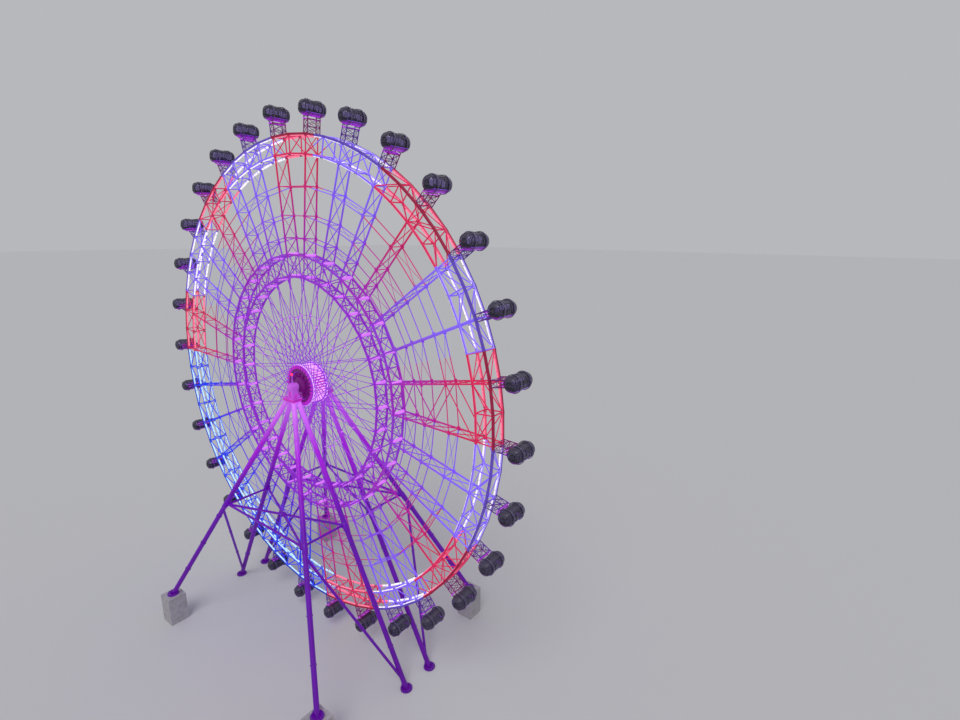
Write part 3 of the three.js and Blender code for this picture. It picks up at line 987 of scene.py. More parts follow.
def light_tube(shape, start, end, radius):
    """A tube with rounded ends in two sockets, held by two bands."""
    along = (end - start).normalized()
    length = (end - start).length
    cap = radius * 0.8
    profile = [(radius * 0.55, 0), (radius, cap), (radius, length - cap), (radius * 0.55, length)]
    shape.turned(profile, start, along, 10)
    for point, way in ((start, 1), (end, -1)):
        rear, front = point - along * way * 0.01, point + along * way * 0.012
        shape.bar(rear, front, radius * 1.05, 8, "Tube socket")
    for share in (0.25, 0.75):
        middle = start.lerp(end, share)
        band = along * 0.004
        shape.bar(middle - band, middle + band, radius * 1.06, 10, "Tube socket")


def build_rim_lights():
    """Tubes let halfway into the hub side of every chord, a little towards the wheel's middle plane."""
    size = sizes()
    end_share = 0.07
    for sector in range(SECTOR_COUNT):
        shape = Shape("Tube light")
        for panel in sector_panels(sector):
            angles = (panel_angle(panel), panel_angle(panel + 1))
            for side in SIDES:
                for radius, half in rim_lines():
                    y = side * (size.half_width - half * 0.45)
                    start, end = (polar(radius - half * 0.75, angle, y) for angle in angles)
                    ends = start.lerp(end, end_share), end.lerp(start, end_share)
                    light_tube(shape, *ends, size.light_tube)
        make_piece(f"rim_lights_{sector + 1}", shape, "wheel")


def ladder_levels():
    """Radii where a ladder's rods meet its rails, from the strong ring to the rim."""
    size = sizes()
    return [size.ring_outer, *size.rows, size.rim_inner - 0.03]


def ladder_bracing(shape, angle):
    """A stout and a thin rod that cross between a ladder's rails, bay by bay, with node plates."""
    size = sizes()
    levels = ladder_levels()
    node_plate = (0.09, 0.07, 0.008)
    for low, high in zip(levels, levels[1:]):
        for side, radius in ((NEAR, size.brace), (FAR, size.rod * 0.8)):
            y = side * size.half_width
            shape.bar(polar(low, angle, y), polar(high, angle, -y), radius)
    for radius in size.rows:
        for side in SIDES:
            centre = polar(radius, angle, side * size.half_width)
            shape.block(centre, node_plate, wheel_axes(angle, ALONG), cut=0.012)


def ring_bracing(shape, station):
    """Crossing braces, middle posts, axial tubes and thin crossing rods of one bay of the strong ring."""
    size = sizes()
    here, following = station_angle(station), station_angle(station + 1)
    middle = (here + following) / 2
    flatten = math.cos(STATION_STEP / 2)
    inner, outer = size.ring_inner, size.ring_outer
    for side in SIDES:
        y = side * size.half_width
        shape.bar(polar(inner, here, y), polar(outer, following, y), size.brace)
        shape.bar(polar(outer, here, y), polar(inner, following, y), size.brace)
        shape.bar(polar(inner * flatten, middle, y), polar(outer * flatten, middle, y), size.rod)
    for radius in (inner, outer):
        near = polar(radius * flatten, middle, -size.half_width)
        far = polar(radius * flatten, middle, size.half_width)
        shape.bar(near, far, size.brace * 1.3, 8)
        for angle in (here, following):
            shape.bar(polar(radius, angle, -size.half_width), far, size.rod)
            shape.bar(polar(radius, angle, size.half_width), near, size.rod)


def bay_zigzag(shape, station):
    """Flat zigzags of tubes between two neighbouring ladders, from the strong ring up to the rim."""
    size = sizes()
    for side in SIDES:
        y = side * size.half_width
        points = [
            polar(radius, station_angle(station + level % 2), y)
            for level, radius in enumerate(ladder_levels())
        ]
        for start, end in zip(points, points[1:]):
            shape.bar(start, end, size.brace)


def row_bracing(shape, station):
    """Thin crossing rods between the near and far ties of each row, in every other bay."""
    size = sizes()
    here, following = station_angle(station), station_angle(station + 1)
    for radius in size.rows:
        for side in SIDES:
            y = side * size.half_width
            shape.bar(polar(radius, here, y), polar(radius, following, -y), size.rod * 0.7)


def build_web_bracing():
    for sector in range(SECTOR_COUNT):
        shape = Shape("Web paint")
        for station in sector_stations(sector):
            ladder_bracing(shape, station_angle(station))
            ring_bracing(shape, station)
            if station % 2 == 0:
                row_bracing(shape, station)
            if station == STATION_COUNT - 1:
                bay_zigzag(shape, station)
        make_piece(f"web_bracing_{sector + 1}", shape, "wheel")


def build_ring_drums():
    """Stout drums with bolted flanges across the strong ring at every ladder."""
    size = sizes()
    narrow, wide = size.drum, size.drum * 1.25
    flange = size.half_width - size.ring_half
    reach = flange - 0.01
    profile = [
        (wide, -flange), (wide, -reach), (narrow, -reach),
        (narrow, reach), (wide, reach), (wide, flange),
    ]
    for sector in range(SECTOR_COUNT):
        shape = Shape("Drum paint")
        for station in sector_stations(sector):
            for radius in (size.ring_inner, size.ring_outer):
                centre = polar(radius, station_angle(station), 0)
                shape.turned(profile, centre, ALONG, 20)
                for side in SIDES:
                    face = centre + ALONG * side * reach
                    shape.bolts(face, ALONG * -side, size.drum * 1.12, 8, 0.0035, 0.006)
        make_piece(f"ring_drums_{sector + 1}", shape, "wheel")


# The cables as they lie: the gap at their seats, the flange that they start in, their radius, where
# they start and how far round from their ladder, the layer of each hand and their lean at the ring
SEAT_GAP = 0.0003
FLANGE_THICKNESS = 0.062
FLANGE_RADIUS = 0.48
CABLE_RADIUS = 0.009
CABLE_START = 0.446
CABLE_LEAD = math.radians(80)
CABLE_LAYER = 0.014
CABLE_END_TILT = 0.23
FLANGE_MIDDLE = HUB_HALF_LENGTH + SEAT_GAP + FLANGE_THICKNESS / 2


def cable_ends(station, hand, side):
    """Where a cable leaves the hub's flange and where it meets the strong ring."""
    size = sizes()
    angle = station_angle(station)
    start = polar(CABLE_START, angle + hand * CABLE_LEAD, side * FLANGE_MIDDLE + hand * CABLE_LAYER)
    reach = size.ring_inner - size.ring_half - SEAT_GAP - CABLE_RADIUS * CABLE_END_TILT
    end = polar(reach, angle, side * size.half_width + hand * CABLE_LAYER)
    return start, end


def cable_crossing(station, apart, side):
    """Midway between a cable of one hand and one of the other some stations on, where they pass."""
    (a, b), (c, d) = cable_ends(station, 1, side), cable_ends(station + apart, -1, side)
    u, v, w = b - a, d - c, c - a
    share = (w.x * v.z - w.z * v.x) / (u.x * v.z - u.z * v.x)
    point = a + u * share
    other = c + v * ((point - c).dot(v) / v.dot(v))
    return (point + other) / 2


def build_cable_fittings():
    """Sockets on the hub and the ring, and clamps where cables cross, the outer ones on a thin tie."""
    clamp_reach = Vector((0, 0.024, 0))
    clamp_radius, tie_radius = 0.012, 0.005
    hub_socket, ring_socket, sleeve = 0.017, 0.014, 0.011
    for side in SIDES:
        shape = Shape("Cable strand")
        for station in range(STATION_COUNT):
            for hand in HANDS:
                start, end = cable_ends(station, hand, side)
                along = (end - start).normalized()
                inner, outer = start + along * 0.03, start + along * 0.16
                shape.bar(inner, outer, hub_socket, 10, "Drum paint", sleeve)
                shape.bar(end - along * 0.13, end - along * 0.01, sleeve, 8, end_radius=ring_socket)
        for station in range(STATION_COUNT):
            for apart, look in ((1, "Drum paint"), (3, "Cable strand")):
                point = cable_crossing(station, apart, side)
                shape.bar(point - clamp_reach, point + clamp_reach, clamp_radius, 8, look)
                if apart == 1:
                    shape.bar(point, cable_crossing(station + 1, apart, side), tie_radius)
        make_piece(f"cable_fittings_{SIDE_NAMES[side]}", shape, "wheel")


def build_hub():
    """Ribs round the drum, bolted end plates and bearing housings round the spindle."""
    # The end plates, housings and stiffeners take the hub's paint in painted shade, and the ribs a painted
    # highlight
    shape = Shape("Hub shade")
    rib_count = STATION_COUNT * 3 // 2
    rib_size = (0.026, 0.034, 2 * HUB_HALF_LENGTH - 0.004)
    for rib in range(rib_count):
        angle = REST_ANGLE + rib * 2 * math.pi / rib_count
        centre = polar(HUB_RADIUS + 0.012, angle, 0)
        shape.block(centre, rib_size, wheel_axes(angle, ALONG), "Hub rib", 0.005)
    plate_height, housing_height = 0.036, 0.08
    profile = [
        (0.3, 0.0), (0.32, 0.006), (0.32, 0.03), (0.3, plate_height), (0.2, plate_height),
        (0.19, 0.07), (0.16, housing_height), (0.13, 0.11), (0.085, 0.12), (0.085, 0.0),
    ]
    for side in SIDES:
        way = ALONG * side
        face = HUB + way * (HUB_HALF_LENGTH + 0.001)
        shape.turned_ring(profile, face, way, 48)
        shape.bolts(face + way * plate_height, way, 0.27, 24, 0.008, 0.012)
        shape.bolts(face + way * housing_height, way, 0.145, 12, 0.006, 0.008)
        for stiffener in range(12):
            angle = stiffener * math.pi / 6
            centre = polar(0.245, angle, side * (HUB_HALF_LENGTH + 0.05))
            shape.block(centre, (0.01, 0.1, 0.04), wheel_axes(angle, way))
    make_piece("hub_fittings", shape, "wheel")


def build_flange_rings():
    """A cover ring in painted shade on each cable flange, with the brackets of the cables' sockets round its
    edge.
    """
    cover_radius, cover_half = 0.365, 0.005
    cover_section = chamfered(0.03, cover_half, 0.002)
    edge_section = chamfered(0.006, 0.02, 0.002)
    for side in SIDES:
        shape = Shape("Hub shade")
        way = ALONG * side
        face = HUB + way * (FLANGE_MIDDLE + FLANGE_THICKNESS / 2)
        shape.hoop(face + way * cover_half, ALONG, cover_radius, cover_section, 60)
        shape.bolts(face + way * 2 * cover_half, way, cover_radius, 30, 0.007, 0.008)
        for station in range(STATION_COUNT):
            angle = station_angle(station)
            centre = polar(0.434, angle, face.y + side * 0.012)
            shape.block(centre, (0.026, 0.076, 0.026), wheel_axes(angle, way), "Hub paint", 0.004)
        # A painted highlight round the flange's edge
        shape.hoop(HUB + way * FLANGE_MIDDLE, ALONG, FLANGE_RADIUS + 0.002, edge_section, 60, "Hub rib")
        make_piece(f"flange_ring_{SIDE_NAMES[side]}", shape, "wheel")


def railing(shape, corners, height):
    """Posts, a hand rail and a knee rail round a closed line of corners."""
    bar_radius, post_spacing = 0.0035, 0.1
    for start, end in zip(corners, corners[1:] + corners[:1]):
        posts = max(1, round((end - start).length / post_spacing))
        for post in range(posts):
            foot = start.lerp(end, post / posts)
            shape.bar(foot, foot + UP * height, bar_radius)
        for share in (0.5, 1.0):
            shape.bar(start + UP * height * share, end + UP * height * share, bar_radius)


# Length of a head's body along the axle, and how near points lie that belong to one face
HEAD_BODY_LENGTH = 0.16
SAME_FACE = 0.001


def head_outline():
    """Half width of a head's body, where it begins and ends along Y, and the top of the plate under it."""
    points = [vertex.co for vertex in frame["nodes"]["spindle_head_far"].data.vertices]
    edge = [point for point in points if point.x > HEAD_BOX[1].x - SAME_FACE]
    body_x = HEAD_BOX[1].z - HUB.z
    body_y = (SPINDLE_END + SEAT_GAP, SPINDLE_END + SEAT_GAP + HEAD_BODY_LENGTH)
    return body_x, body_y, max(point.z for point in edge)


def build_heads():
    """Plate, body, grating, railing, cabinets and bearing covers of each spindle head, and a mast and beacon
    on the near one.
    """
    half_x, (inner_y, outer_y), deck_z = head_outline()
    low, high = HEAD_BOX
    middle_y = (inner_y + outer_y) / 2
    for side in SIDES:
        shape = Shape("Head paint")
        plate_size = (high.x - low.x, high.y - low.y, deck_z - low.z)
        plate_centre = Vector((0, side * (low.y + high.y) / 2, (low.z + deck_z) / 2))
        shape.block(plate_centre, plate_size, look="Hub paint", cut=0.02)
        arched_body(shape, half_x, [side * inner_y, side * outer_y], deck_z, high.z)
        hatch = Vector((0, side * (outer_y + 0.001), deck_z + 0.085))
        shape.block(hatch, (0.08, 0.006, 0.13), look="Hub paint", cut=0.0015)
        head_railing(shape, side, deck_z)
        for hand in HANDS:
            head_flank(shape, side, hand, half_x, middle_y, deck_z)
        cap = Vector((0, side * middle_y, high.z - 0.002))
        shape.block(cap, (0.09, 0.12, 0.012), cut=0.01)
        bearing_covers(shape, side, inner_y, outer_y)
        if side == NEAR:
            mast_and_beacon(shape, cap)
        name = SIDE_NAMES[side]
        make_piece(f"head_platform_{name}", shape, "support", [f"spindle_head_{name}"])


def arched_body(shape, half_x, y_ends, deck_z, top_z):
    """The block that holds the spindle's end: straight sides that narrow into a round top."""
    radius = top_z - HUB.z
    edge = 0.006
    rings = []
    for share, inset in ((0.0, edge), (edge, 0.0), (1.0 - edge, 0.0), (1.0, edge)):
        y = y_ends[0] + (y_ends[1] - y_ends[0]) * share
        ring = [Vector((-half_x + inset, y, deck_z)), Vector((half_x - inset, y, deck_z))]
        for a, b in circle(radius - inset, 36):
            if b > -0.001:
                ring.append(Vector((a, y, HUB.z + b)))
        rings.append(ring)
    shape.loft(rings)


def head_flank(shape, side, hand, half_x, middle_y, deck_z):
    """Stiffening ribs on one flank of a head's body and a cabinet beside it."""
    body_height = HEAD_BOX[1].z - deck_z
    for y in (-0.06, 0.0, 0.06):
        centre = Vector((hand * half_x * 0.97, side * (middle_y + y), deck_z + body_height * 0.3))
        shape.block(centre, (0.018, 0.012, body_height * 0.6))
    cabinet = Vector((hand * (half_x + 0.042), side * (middle_y - 0.02), deck_z + 0.05))
    shape.block(cabinet, (0.05, 0.11, 0.09), look="Hub paint", cut=0.006)
    shape.block(cabinet + Vector((hand * 0.026, 0, 0)), (0.004, 0.08, 0.07))


def head_railing(shape, side, deck_z):
    """Grating and toe board on the plate, with a railing near its edge."""
    low, high = HEAD_BOX
    inset = 0.012
    deck = Vector((0, side * (low.y + high.y) / 2, deck_z + 0.002))
    shape.block(deck, (high.x - low.x - 0.008, high.y - low.y - 0.008, 0.005), look="Hub paint")
    reach_x, reach_y = high.x - inset, (high.y - low.y) / 2 - inset
    turns = ((-1, -1), (1, -1), (1, 1), (-1, 1))
    corners = [deck + Vector((sx * reach_x, sy * reach_y, 0)) for sx, sy in turns]
    railing(shape, corners, 0.12)
    for start, end in zip(corners, corners[1:] + corners[:1]):
        along = (end - start).normalized()
        middle = (start + end) / 2 + UP * 0.012
        shape.block(middle, (0.003, 0.02, (end - start).length), (along.cross(UP), UP, along))


def bearing_covers(shape, side, inner_y, outer_y):
    """A bolted cap over the spindle's end and a collar round it on the hub's side."""
    way = Vector((0, side, 0))
    cover = Vector((0, side * outer_y, HUB.z))
    brim = 0.012
    shape.turned([(0.085, 0.0), (0.085, brim), (0.05, 0.02), (0.045, 0.03), (0.02, 0.034)], cover, way, 28)
    shape.bolts(cover + way * brim, way, 0.07, 12, 0.005, 0.008)
    collar = Vector((0, side * inner_y, HUB.z))
    bore = SPINDLE_RADIUS + 0.0005
    profile = [(bore, -0.03), (0.086, -0.03), (0.092, -0.012), (0.092, 0.0), (bore, 0.0)]
    shape.turned_ring(profile, collar, way, 32)


def mast_and_beacon(shape, foot):
    """A short mast on four stays, with a red lamp on top."""
    height = 0.19
    shape.turned([(0.02, 0.0), (0.02, 0.012), (0.009, 0.018), (0.009, height)], foot, UP, 12)
    lamp = [(0.014, 0.0), (0.02, 0.004), (0.022, 0.012), (0.022, 0.03), (0.016, 0.046), (0.006, 0.052)]
    shape.turned(lamp, foot + UP * height, UP, 16, "Beacon")
    for turn in range(4):
        angle = turn * math.pi / 2 + math.pi / 4
        out = Vector((math.cos(angle), math.sin(angle), 0))
        shape.bar(foot + out * 0.04, foot + UP * 0.1, 0.003)


def leg_ends(row, side, hand):
    """Top and foot of a leg's middle line, measured on its solid."""
    node = frame["nodes"][f"{row}_leg_{SIDE_NAMES[side]}_{HAND_NAMES[hand]}"]
    points = [vertex.co for vertex in node.data.vertices]
    top_z = max(point.z for point in points)
    foot_z = min(point.z for point in points)
    top = middle_of([point for point in points if point.z > top_z - SAME_FACE])
    foot = middle_of([point for point in points if point.z < foot_z + SAME_FACE])
    return top, foot


def middle_of(points):
    low = Vector([min(point[axis] for point in points) for axis in range(3)])
    high = Vector([max(point[axis] for point in points) for axis in range(3)])
    return (low + high) / 2


def at_height(top, foot, z):
    return foot.lerp(top, (z - foot.z) / (top.z - foot.z))


# Sides of a leg's tube and of what is fitted round it
TUBE_SIDES = 28


def level_cut_tube(shape, start, end, radius):
    """A sloping round tube whose two ends are cut level."""
    along = (end - start).normalized()
    a, b = square_axes(along)
    rings = []
    for point in (start, end):
        ring = []
        for p, q in circle(radius, TUBE_SIDES):
            corner = point + a * p + b * q
            ring.append(corner + along * ((point.z - corner.z) / along.z))
        rings.append(ring)
    shape.loft(rings)


def leg_flanges(shape, start, end, radius, spacing):
    """Bolted splices along a tube."""
    length = (end - start).length
    along = (end - start).normalized()
    count = round(length / spacing)
    profile = [(radius * 1.2, 0.0), (radius * 1.2, 0.01), (radius * 1.02, 0.016)]
    for i in range(1, count):
        centre = start + along * (length * i / count)
        for way in (-1, 1):
            face = centre + along * way * 0.001
            shape.turned(profile, face, along * way, TUBE_SIDES)
            shape.bolts(face + along * way * 0.01, along * way, radius * 1.11, 16, 0.0035, 0.006)


def foot_fittings(shape, foot, leg_axis, radius):
    """Round base plate with ribs up the tube and a circle of anchor bolts."""
    plate_height = 0.04
    profile = [(0.128, 0.001), (0.13, 0.004), (0.13, 0.034), (0.126, plate_height)]
    shape.turned(profile, foot, UP, 36)
    shape.bolts(foot + UP * plate_height, UP, 0.112, 16, 0.006, 0.014)
    for rib in range(8):
        angle = rib * math.pi / 4 + math.pi / 8
        out = Vector((math.cos(angle), math.sin(angle), 0))
        centre = foot + leg_axis * 0.07 + out * (radius + 0.018)
        shape.block(centre, (0.006, 0.036, 0.06), (out.cross(UP), out, UP))


def leg_sleeve(shape, node_point, axis, radius):
    """A thicker sleeve where the level frame meets a leg."""
    thin, thick = radius * 1.01, radius * 1.16
    profile = [(thin, -0.13), (thick, -0.115), (thick, 0.075), (thin, 0.09)]
    shape.turned(profile, node_point, axis, TUBE_SIDES)


def foot_strut(shape, leg_top, leg_foot, outer_top, outer_foot):
    """The thinner tube from the foot of an inner leg up to the outer leg beside it."""
    radius = sizes().strut
    start = at_height(outer_top, outer_foot, FRAME_HEIGHT - 0.15)
    end = at_height(leg_top, leg_foot, 0.18)
    shape.bar(start, end, radius, 20)
    leg_flanges(shape, start, end, radius, 1.1)


def build_legs():
    radius = sizes().leg
    for side in SIDES:
        for hand in HANDS:
            where = f"{SIDE_NAMES[side]}_{HAND_NAMES[hand]}"
            outer_ends = leg_ends("outer", side, hand)
            for row in ("outer", "inner"):
                top, foot = leg_ends(row, side, hand)
                axis = (top - foot).normalized()
                shape = Shape("Leg paint")
                level_cut_tube(shape, foot + axis * 0.002, top, radius)
                leg_flanges(shape, foot, top, radius, 0.95)
                foot_fittings(shape, foot, axis, radius)
                leg_sleeve(shape, at_height(top, foot, FRAME_HEIGHT), axis, radius)
                if row == "inner":
                    foot_strut(shape, top, foot, *outer_ends)
                make_piece(f"{row}_tube_{where}", shape, "support", [f"{row}_leg_{where}"])


def build_frame_fittings():
    """Node plates where the level frame's tubes meet the legs and cross each other."""
    cover_half = 0.036
    profile = [(0.056, -cover_half), (0.06, -0.032), (0.06, 0.032), (0.056, cover_half)]
    for side in SIDES:
        shape = Shape("Leg paint")
        for row in ("outer", "inner"):
            for hand in HANDS:
                point = at_height(*leg_ends(row, side, hand), FRAME_HEIGHT)
                inwards = Vector((-hand, 0, 0))
                for level in (-0.026, 0.026):
                    shape.block(point + inwards * 0.07 + UP * level, (0.11, 0.13, 0.006), cut=0.025)
        centre = Vector((0, side * (abs(FRAME_BOX[0].y) + abs(FRAME_BOX[1].y)) / 2, FRAME_HEIGHT))
        shape.turned(profile, centre, UP, 24)
        shape.bolts(centre + UP * cover_half, UP, 0.044, 8, 0.005, 0.007)
        make_piece(f"frame_fittings_{SIDE_NAMES[side]}", shape, "support")


# The shell of a cabin: how far it runs straight, its radius at the very end and how full its ends are
SHELL_STRAIGHT_SHARE = 0.62
SHELL_END_SHARE = 0.36
SHELL_FULLNESS = 2.2


def cabin_radius_at(y):
    """The shell's radius along the cabin: straight in the middle and rounded at both ends."""
    size = sizes()
    straight = size.cabin_half * SHELL_STRAIGHT_SHARE
    beyond = max(0.0, abs(y) - straight) / (size.cabin_half - straight)
    swell = math.sqrt(max(0.0, 1 - beyond**SHELL_FULLNESS))
    return size.cabin * (SHELL_END_SHARE + (1 - SHELL_END_SHARE) * swell)


def shell_point(y, angle, inset=0.0):
    radius = cabin_radius_at(y) - inset
    return Vector((radius * math.cos(angle), y, radius * math.sin(angle)))


def shell_panel(shape, y_places, angles, inset, depth, look):
    """A curved panel of the shell with a real thickness, closed all round."""
    rings = []
    for y in y_places:
        outer = [shell_point(y, angle, inset) for angle in angles]
        inner = [shell_point(y, angle, inset + depth) for angle in reversed(angles)]
        rings.append(outer + inner)
    shape.loft(rings, look)


def steps(first, last, count):
    return [first + (last - first) * i / count for i in range(count + 1)]


def angle_steps(first_deg, last_deg, count):
    return steps(math.radians(first_deg), math.radians(last_deg), count)


def build_cabin_mesh():
    """Hull, roof and window bands between four rails, with round ends, ribs, seats and roof units."""
    half = sizes().cabin_half
    shape = Shape("Cabin frame")
    lengths = steps(-half, half, 20)
    right_sill, right_head, left_head, left_sill = (-28, 48, 132, 208)
    shell_panel(shape, lengths, angle_steps(left_sill - 360, right_sill, 14), 0.0, 0.008, "Cabin hull")
    shell_panel(shape, lengths, angle_steps(right_head, left_head, 10), 0.0, 0.008, "Cabin roof")
    for first, last in ((right_sill, right_head), (left_head, left_sill)):
        shell_panel(shape, lengths, angle_steps(first, last, 9), 0.004, 0.003, "Cabin glass")
    cabin_ribs(shape)
    for angle_deg in (right_sill, right_head, left_head, left_sill):
        rail = [shell_point(y, math.radians(angle_deg), 0.003) for y in lengths]
        shape.sweep(rail, circle(0.0045, 6), UP)
    end_radius = cabin_radius_at(half)
    for side in SIDES:
        way = ALONG * side
        centre = way * (half - 0.006)
        shape.turned([(end_radius * 1.02, -0.006), (end_radius * 1.02, 0.006)], centre, way, 24)
        shape.turned([(end_radius * 0.72, 0.0), (end_radius * 0.72, 0.0075)], centre, way, 20, "Cabin glass")
    cabin_inside(shape)
    cabin_roof_units(shape)
    return make_mesh("cabin_shell", shape)


def cabin_ribs(shape):
    """Slim hoops round the shell between its panes."""
    half = sizes().cabin_half
    section = chamfered(0.003, 0.004, 0.001)
    for share in (-0.86, -0.66, -0.22, 0.22, 0.66, 0.86):
        y = share * half
        shape.hoop(Vector((0, y, 0)), ALONG, cabin_radius_at(y) - 0.002, section)


def cabin_inside(shape):
    """Floor, a double bench down the middle and a thin light line let into the hull on either side."""
    half = sizes().cabin_half
    floor_z = -0.098
    reach = 0.72 * half
    width = 2 * math.sqrt((sizes().cabin - 0.01) ** 2 - floor_z**2)
    seat_z, back_z = floor_z + 0.028, floor_z + 0.065
    shape.block(Vector((0, 0, floor_z)), (width, 2 * reach, 0.006), look="Cabin floor")
    shape.block(Vector((0, 0, seat_z)), (0.05, reach * 1.1, 0.05), look="Cabin seat", cut=0.012)
    shape.block(Vector((0, 0, back_z)), (0.012, reach * 1.05, 0.05), look="Cabin seat", cut=0.004)
    for hand in HANDS:
        angle = math.radians(-90 + hand * 50)
        line = [shell_point(y, angle, 0.002) for y in steps(-0.8 * half, 0.8 * half, 12)]
        shape.sweep(line, circle(0.0035, 8), UP, "Cabin light")


def cabin_roof_units(shape):
    """Two cooling units and a hatch on the roof."""
    top = sizes().cabin
    for y in (-0.085, 0.085):
        shape.block(Vector((0, y, top - 0.002)), (0.07, 0.06, 0.018), look="Cabin roof", cut=0.006)
        for step in (-0.018, 0.0, 0.018):
            shape.block(Vector((0, y + step, top + 0.008)), (0.056, 0.006, 0.003))
    shape.block(Vector((0, 0, top - 0.002)), (0.05, 0.05, 0.008), cut=0.006)


def build_cabins():
    mesh = build_cabin_mesh()
    for body, centre in sorted(CAPSULES.items()):
        node = CABIN_NODES[body]
        number = node.rsplit("_", 1)[-1]
        show(f"cabin_shell_{number}", mesh, body, centre, [node])


def paint_carried_nodes():
    """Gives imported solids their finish, chosen by how their names begin."""
    looks = {
        "web_sector": "Web paint",
        "cable_spokes": "Cable strand",
        "hub_drum": "Hub paint",
        "spindle_head": "Hub paint",
        "spindle": "Spindle steel",
        "leg_frame": "Leg paint",
        "foot_pier": "Pier concrete",
    }
    for name, node in frame["nodes"].items():
        found = [look for start, look in looks.items() if name.startswith(start)]
        if found:
            node.data.materials.clear()
            node.data.materials.append(finish(found[0]))


# The studio: side of its floor, brightness of its sky, and strength, spread and turn of its key light
FLOOR_SIDE = 600
SKY_STRENGTH = 0.5
KEY_STRENGTH = 1.1
KEY_SPREAD_DEG = 35
KEY_TURN_DEG = (38, 8, 15)


def build_floor():
    bpy.ops.mesh.primitive_plane_add(size=FLOOR_SIDE)
    floor = bpy.context.object
    floor.name = "studio_floor"
    material, wiring, shader = new_material("Studio floor")
    pale = colours().studio
    wiring.join(wiring.mixed(wiring.noise(0.4, 2.0), rgba(pale), rgba(pale, 0.985)), shader["Base Color"])
    shader["Roughness"].default_value = 0.9
    shader["Specular IOR Level"].default_value = 0.1
    floor.data.materials.append(material)


def build_lights():
    """An even sky and one wide, soft key light from behind the camera's left shoulder."""
    world = bpy.data.worlds.new("Studio")
    bpy.context.scene.world = world
    world.use_nodes = True
    sky = world.node_tree.nodes["Background"].inputs
    sky["Color"].default_value = rgba((0.95, 0.96, 1.0))
    sky["Strength"].default_value = SKY_STRENGTH
    bpy.context.scene.view_settings.view_transform = "Standard"
    key = bpy.data.objects.new("soft_key", bpy.data.lights.new("soft_key", "SUN"))
    key.data.energy = KEY_STRENGTH
    key.data.angle = math.radians(KEY_SPREAD_DEG)
    key.rotation_euler = [math.radians(turn) for turn in KEY_TURN_DEG]
    bpy.context.scene.collection.objects.link(key)


# Where the photograph was taken from, at the model's scale, and how far the camera sees
CAMERA_PLACE = (10.245, -7.122, 9.681)
CAMERA_TURN_DEG = 36.54
CAMERA_DIP_DEG = 13.51
CAMERA_ROLL_DEG = 0.413
CAMERA_LENS_MM = 19.855
CAMERA_SENSOR_MM = 36.0
CAMERA_REACH = 1000


def build_camera():
    data = bpy.data.cameras.new("photo_view")
    data.lens = CAMERA_LENS_MM
    data.sensor_width = CAMERA_SENSOR_MM
    data.clip_end = CAMERA_REACH
    camera = bpy.data.objects.new("photo_view", data)
    turn = Matrix.Rotation(math.radians(CAMERA_TURN_DEG), 4, "Z")
    tilt = Matrix.Rotation(math.radians(90 - CAMERA_DIP_DEG), 4, "X")
    roll = Matrix.Rotation(math.radians(CAMERA_ROLL_DEG), 4, "Z")
    camera.matrix_world = Matrix.Translation(CAMERA_PLACE) @ turn @ tilt @ roll
    bpy.context.scene.collection.objects.link(camera)
    bpy.context.scene.camera = camera


class WHEEL_OT_finishes(bpy.types.Operator):
    """Paint the solids that stay in view"""

    bl_idname = "wheel.finishes"
    bl_label = "Finish the solids"

    def execute(self, context):
        paint_carried_nodes()
        return {"FINISHED"}


class WHEEL_OT_rim(bpy.types.Operator):
    """Build the rim truss with the stands of the cabins"""

    bl_idname = "wheel.rim"
    bl_label = "Rim truss"

    def execute(self, context):
        build_rim()
        return {"FINISHED"}


class WHEEL_OT_rim_lights(bpy.types.Operator):
    """Build the lighting tubes along the four rim chords"""

    bl_idname = "wheel.rim_lights"
    bl_label = "Rim lights"

    def execute(self, context):
        build_rim_lights()
        return {"FINISHED"}


class WHEEL_OT_web(bpy.types.Operator):
    """Build the finer bracing of the ladders, rows and strong ring"""

    bl_idname = "wheel.web"
    bl_label = "Web bracing"

    def execute(self, context):
        build_web_bracing()
        build_ring_drums()
        return {"FINISHED"}


class WHEEL_OT_hub(bpy.types.Operator):
    """Build the hub's ribs, plates and bolts and the fittings of the cables"""

    bl_idname = "wheel.hub"
    bl_label = "Hub and cables"

    def execute(self, context):
        build_hub()
        build_flange_rings()
        build_cable_fittings()
        return {"FINISHED"}


class WHEEL_OT_heads(bpy.types.Operator):
    """Build the platforms and railings of the spindle heads, and the beacon on the near one"""

    bl_idname = "wheel.heads"
    bl_label = "Spindle heads"

    def execute(self, context):
        build_heads()
        return {"FINISHED"}


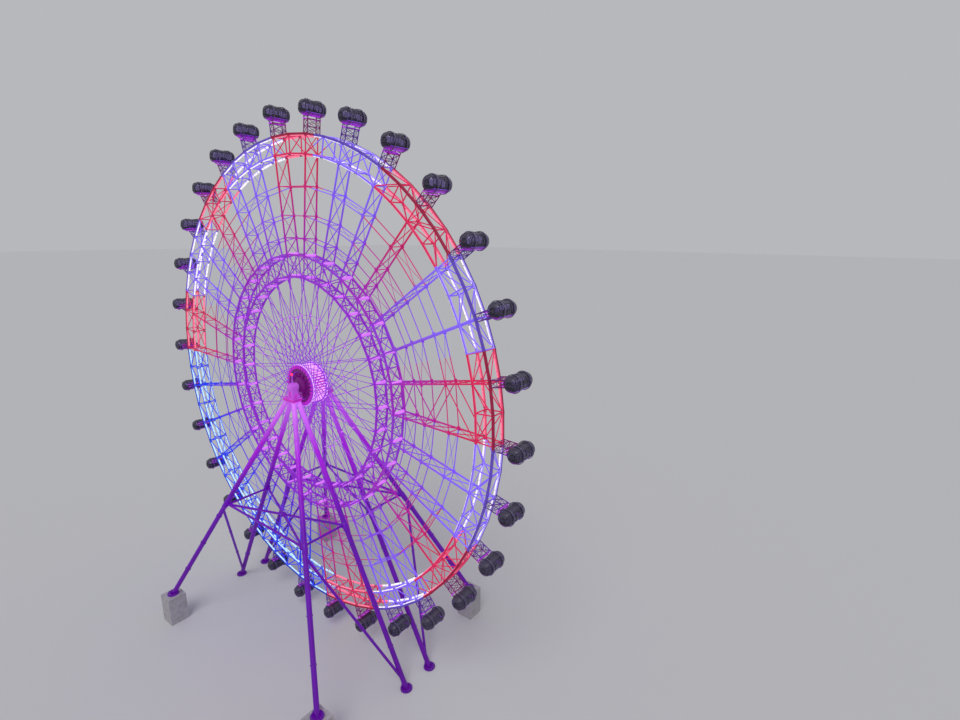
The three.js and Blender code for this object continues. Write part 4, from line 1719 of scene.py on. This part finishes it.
class WHEEL_OT_legs(bpy.types.Operator):
    """Build the round legs with their splices, feet and frame plates"""

    bl_idname = "wheel.legs"
    bl_label = "Legs"

    def execute(self, context):
        build_legs()
        build_frame_fittings()
        return {"FINISHED"}


class WHEEL_OT_cabins(bpy.types.Operator):
    """Build the cabins, each on its own body"""

    bl_idname = "wheel.cabins"
    bl_label = "Cabins"

    def execute(self, context):
        build_cabins()
        return {"FINISHED"}


class WHEEL_OT_stage(bpy.types.Operator):
    """Build the floor, the lights and the camera"""

    bl_idname = "wheel.stage"
    bl_label = "Studio"

    def execute(self, context):
        build_floor()
        build_lights()
        build_camera()
        return {"FINISHED"}


OPERATORS = (
    WHEEL_OT_stage,
    WHEEL_OT_finishes,
    WHEEL_OT_rim,
    WHEEL_OT_rim_lights,
    WHEEL_OT_web,
    WHEEL_OT_hub,
    WHEEL_OT_heads,
    WHEEL_OT_legs,
    WHEEL_OT_cabins,
)


class WHEEL_PT_panel(bpy.types.Panel):
    """Lists the wheel's pieces in the sidebar"""

    bl_idname = "WHEEL_PT_panel"
    bl_label = "Observation wheel"
    bl_space_type = "VIEW_3D"
    bl_region_type = "UI"
    bl_category = "Wheel"

    def draw(self, context):
        for group in (context.scene.wheel_sizes, context.scene.wheel_colours):
            for name in group.__annotations__:
                self.layout.prop(group, name)
        for operator in OPERATORS:
            self.layout.operator(operator.bl_idname)


CLASSES = (WheelSizes, WheelColours, *OPERATORS, WHEEL_PT_panel)


def register():
    for item in CLASSES:
        bpy.utils.register_class(item)
    bpy.types.Scene.wheel_sizes = bpy.props.PointerProperty(type=WheelSizes)
    bpy.types.Scene.wheel_colours = bpy.props.PointerProperty(type=WheelColours)


def unregister():
    del bpy.types.Scene.wheel_colours
    del bpy.types.Scene.wheel_sizes
    for item in reversed(CLASSES):
        bpy.utils.unregister_class(item)


def main():
    register()
    bpy.ops.wheel.stage()
    bpy.ops.wheel.finishes()
    bpy.ops.wheel.rim()
    bpy.ops.wheel.rim_lights()
    bpy.ops.wheel.web()
    bpy.ops.wheel.hub()
    bpy.ops.wheel.heads()
    bpy.ops.wheel.legs()
    bpy.ops.wheel.cabins()


if __name__ == "__main__":
    main()
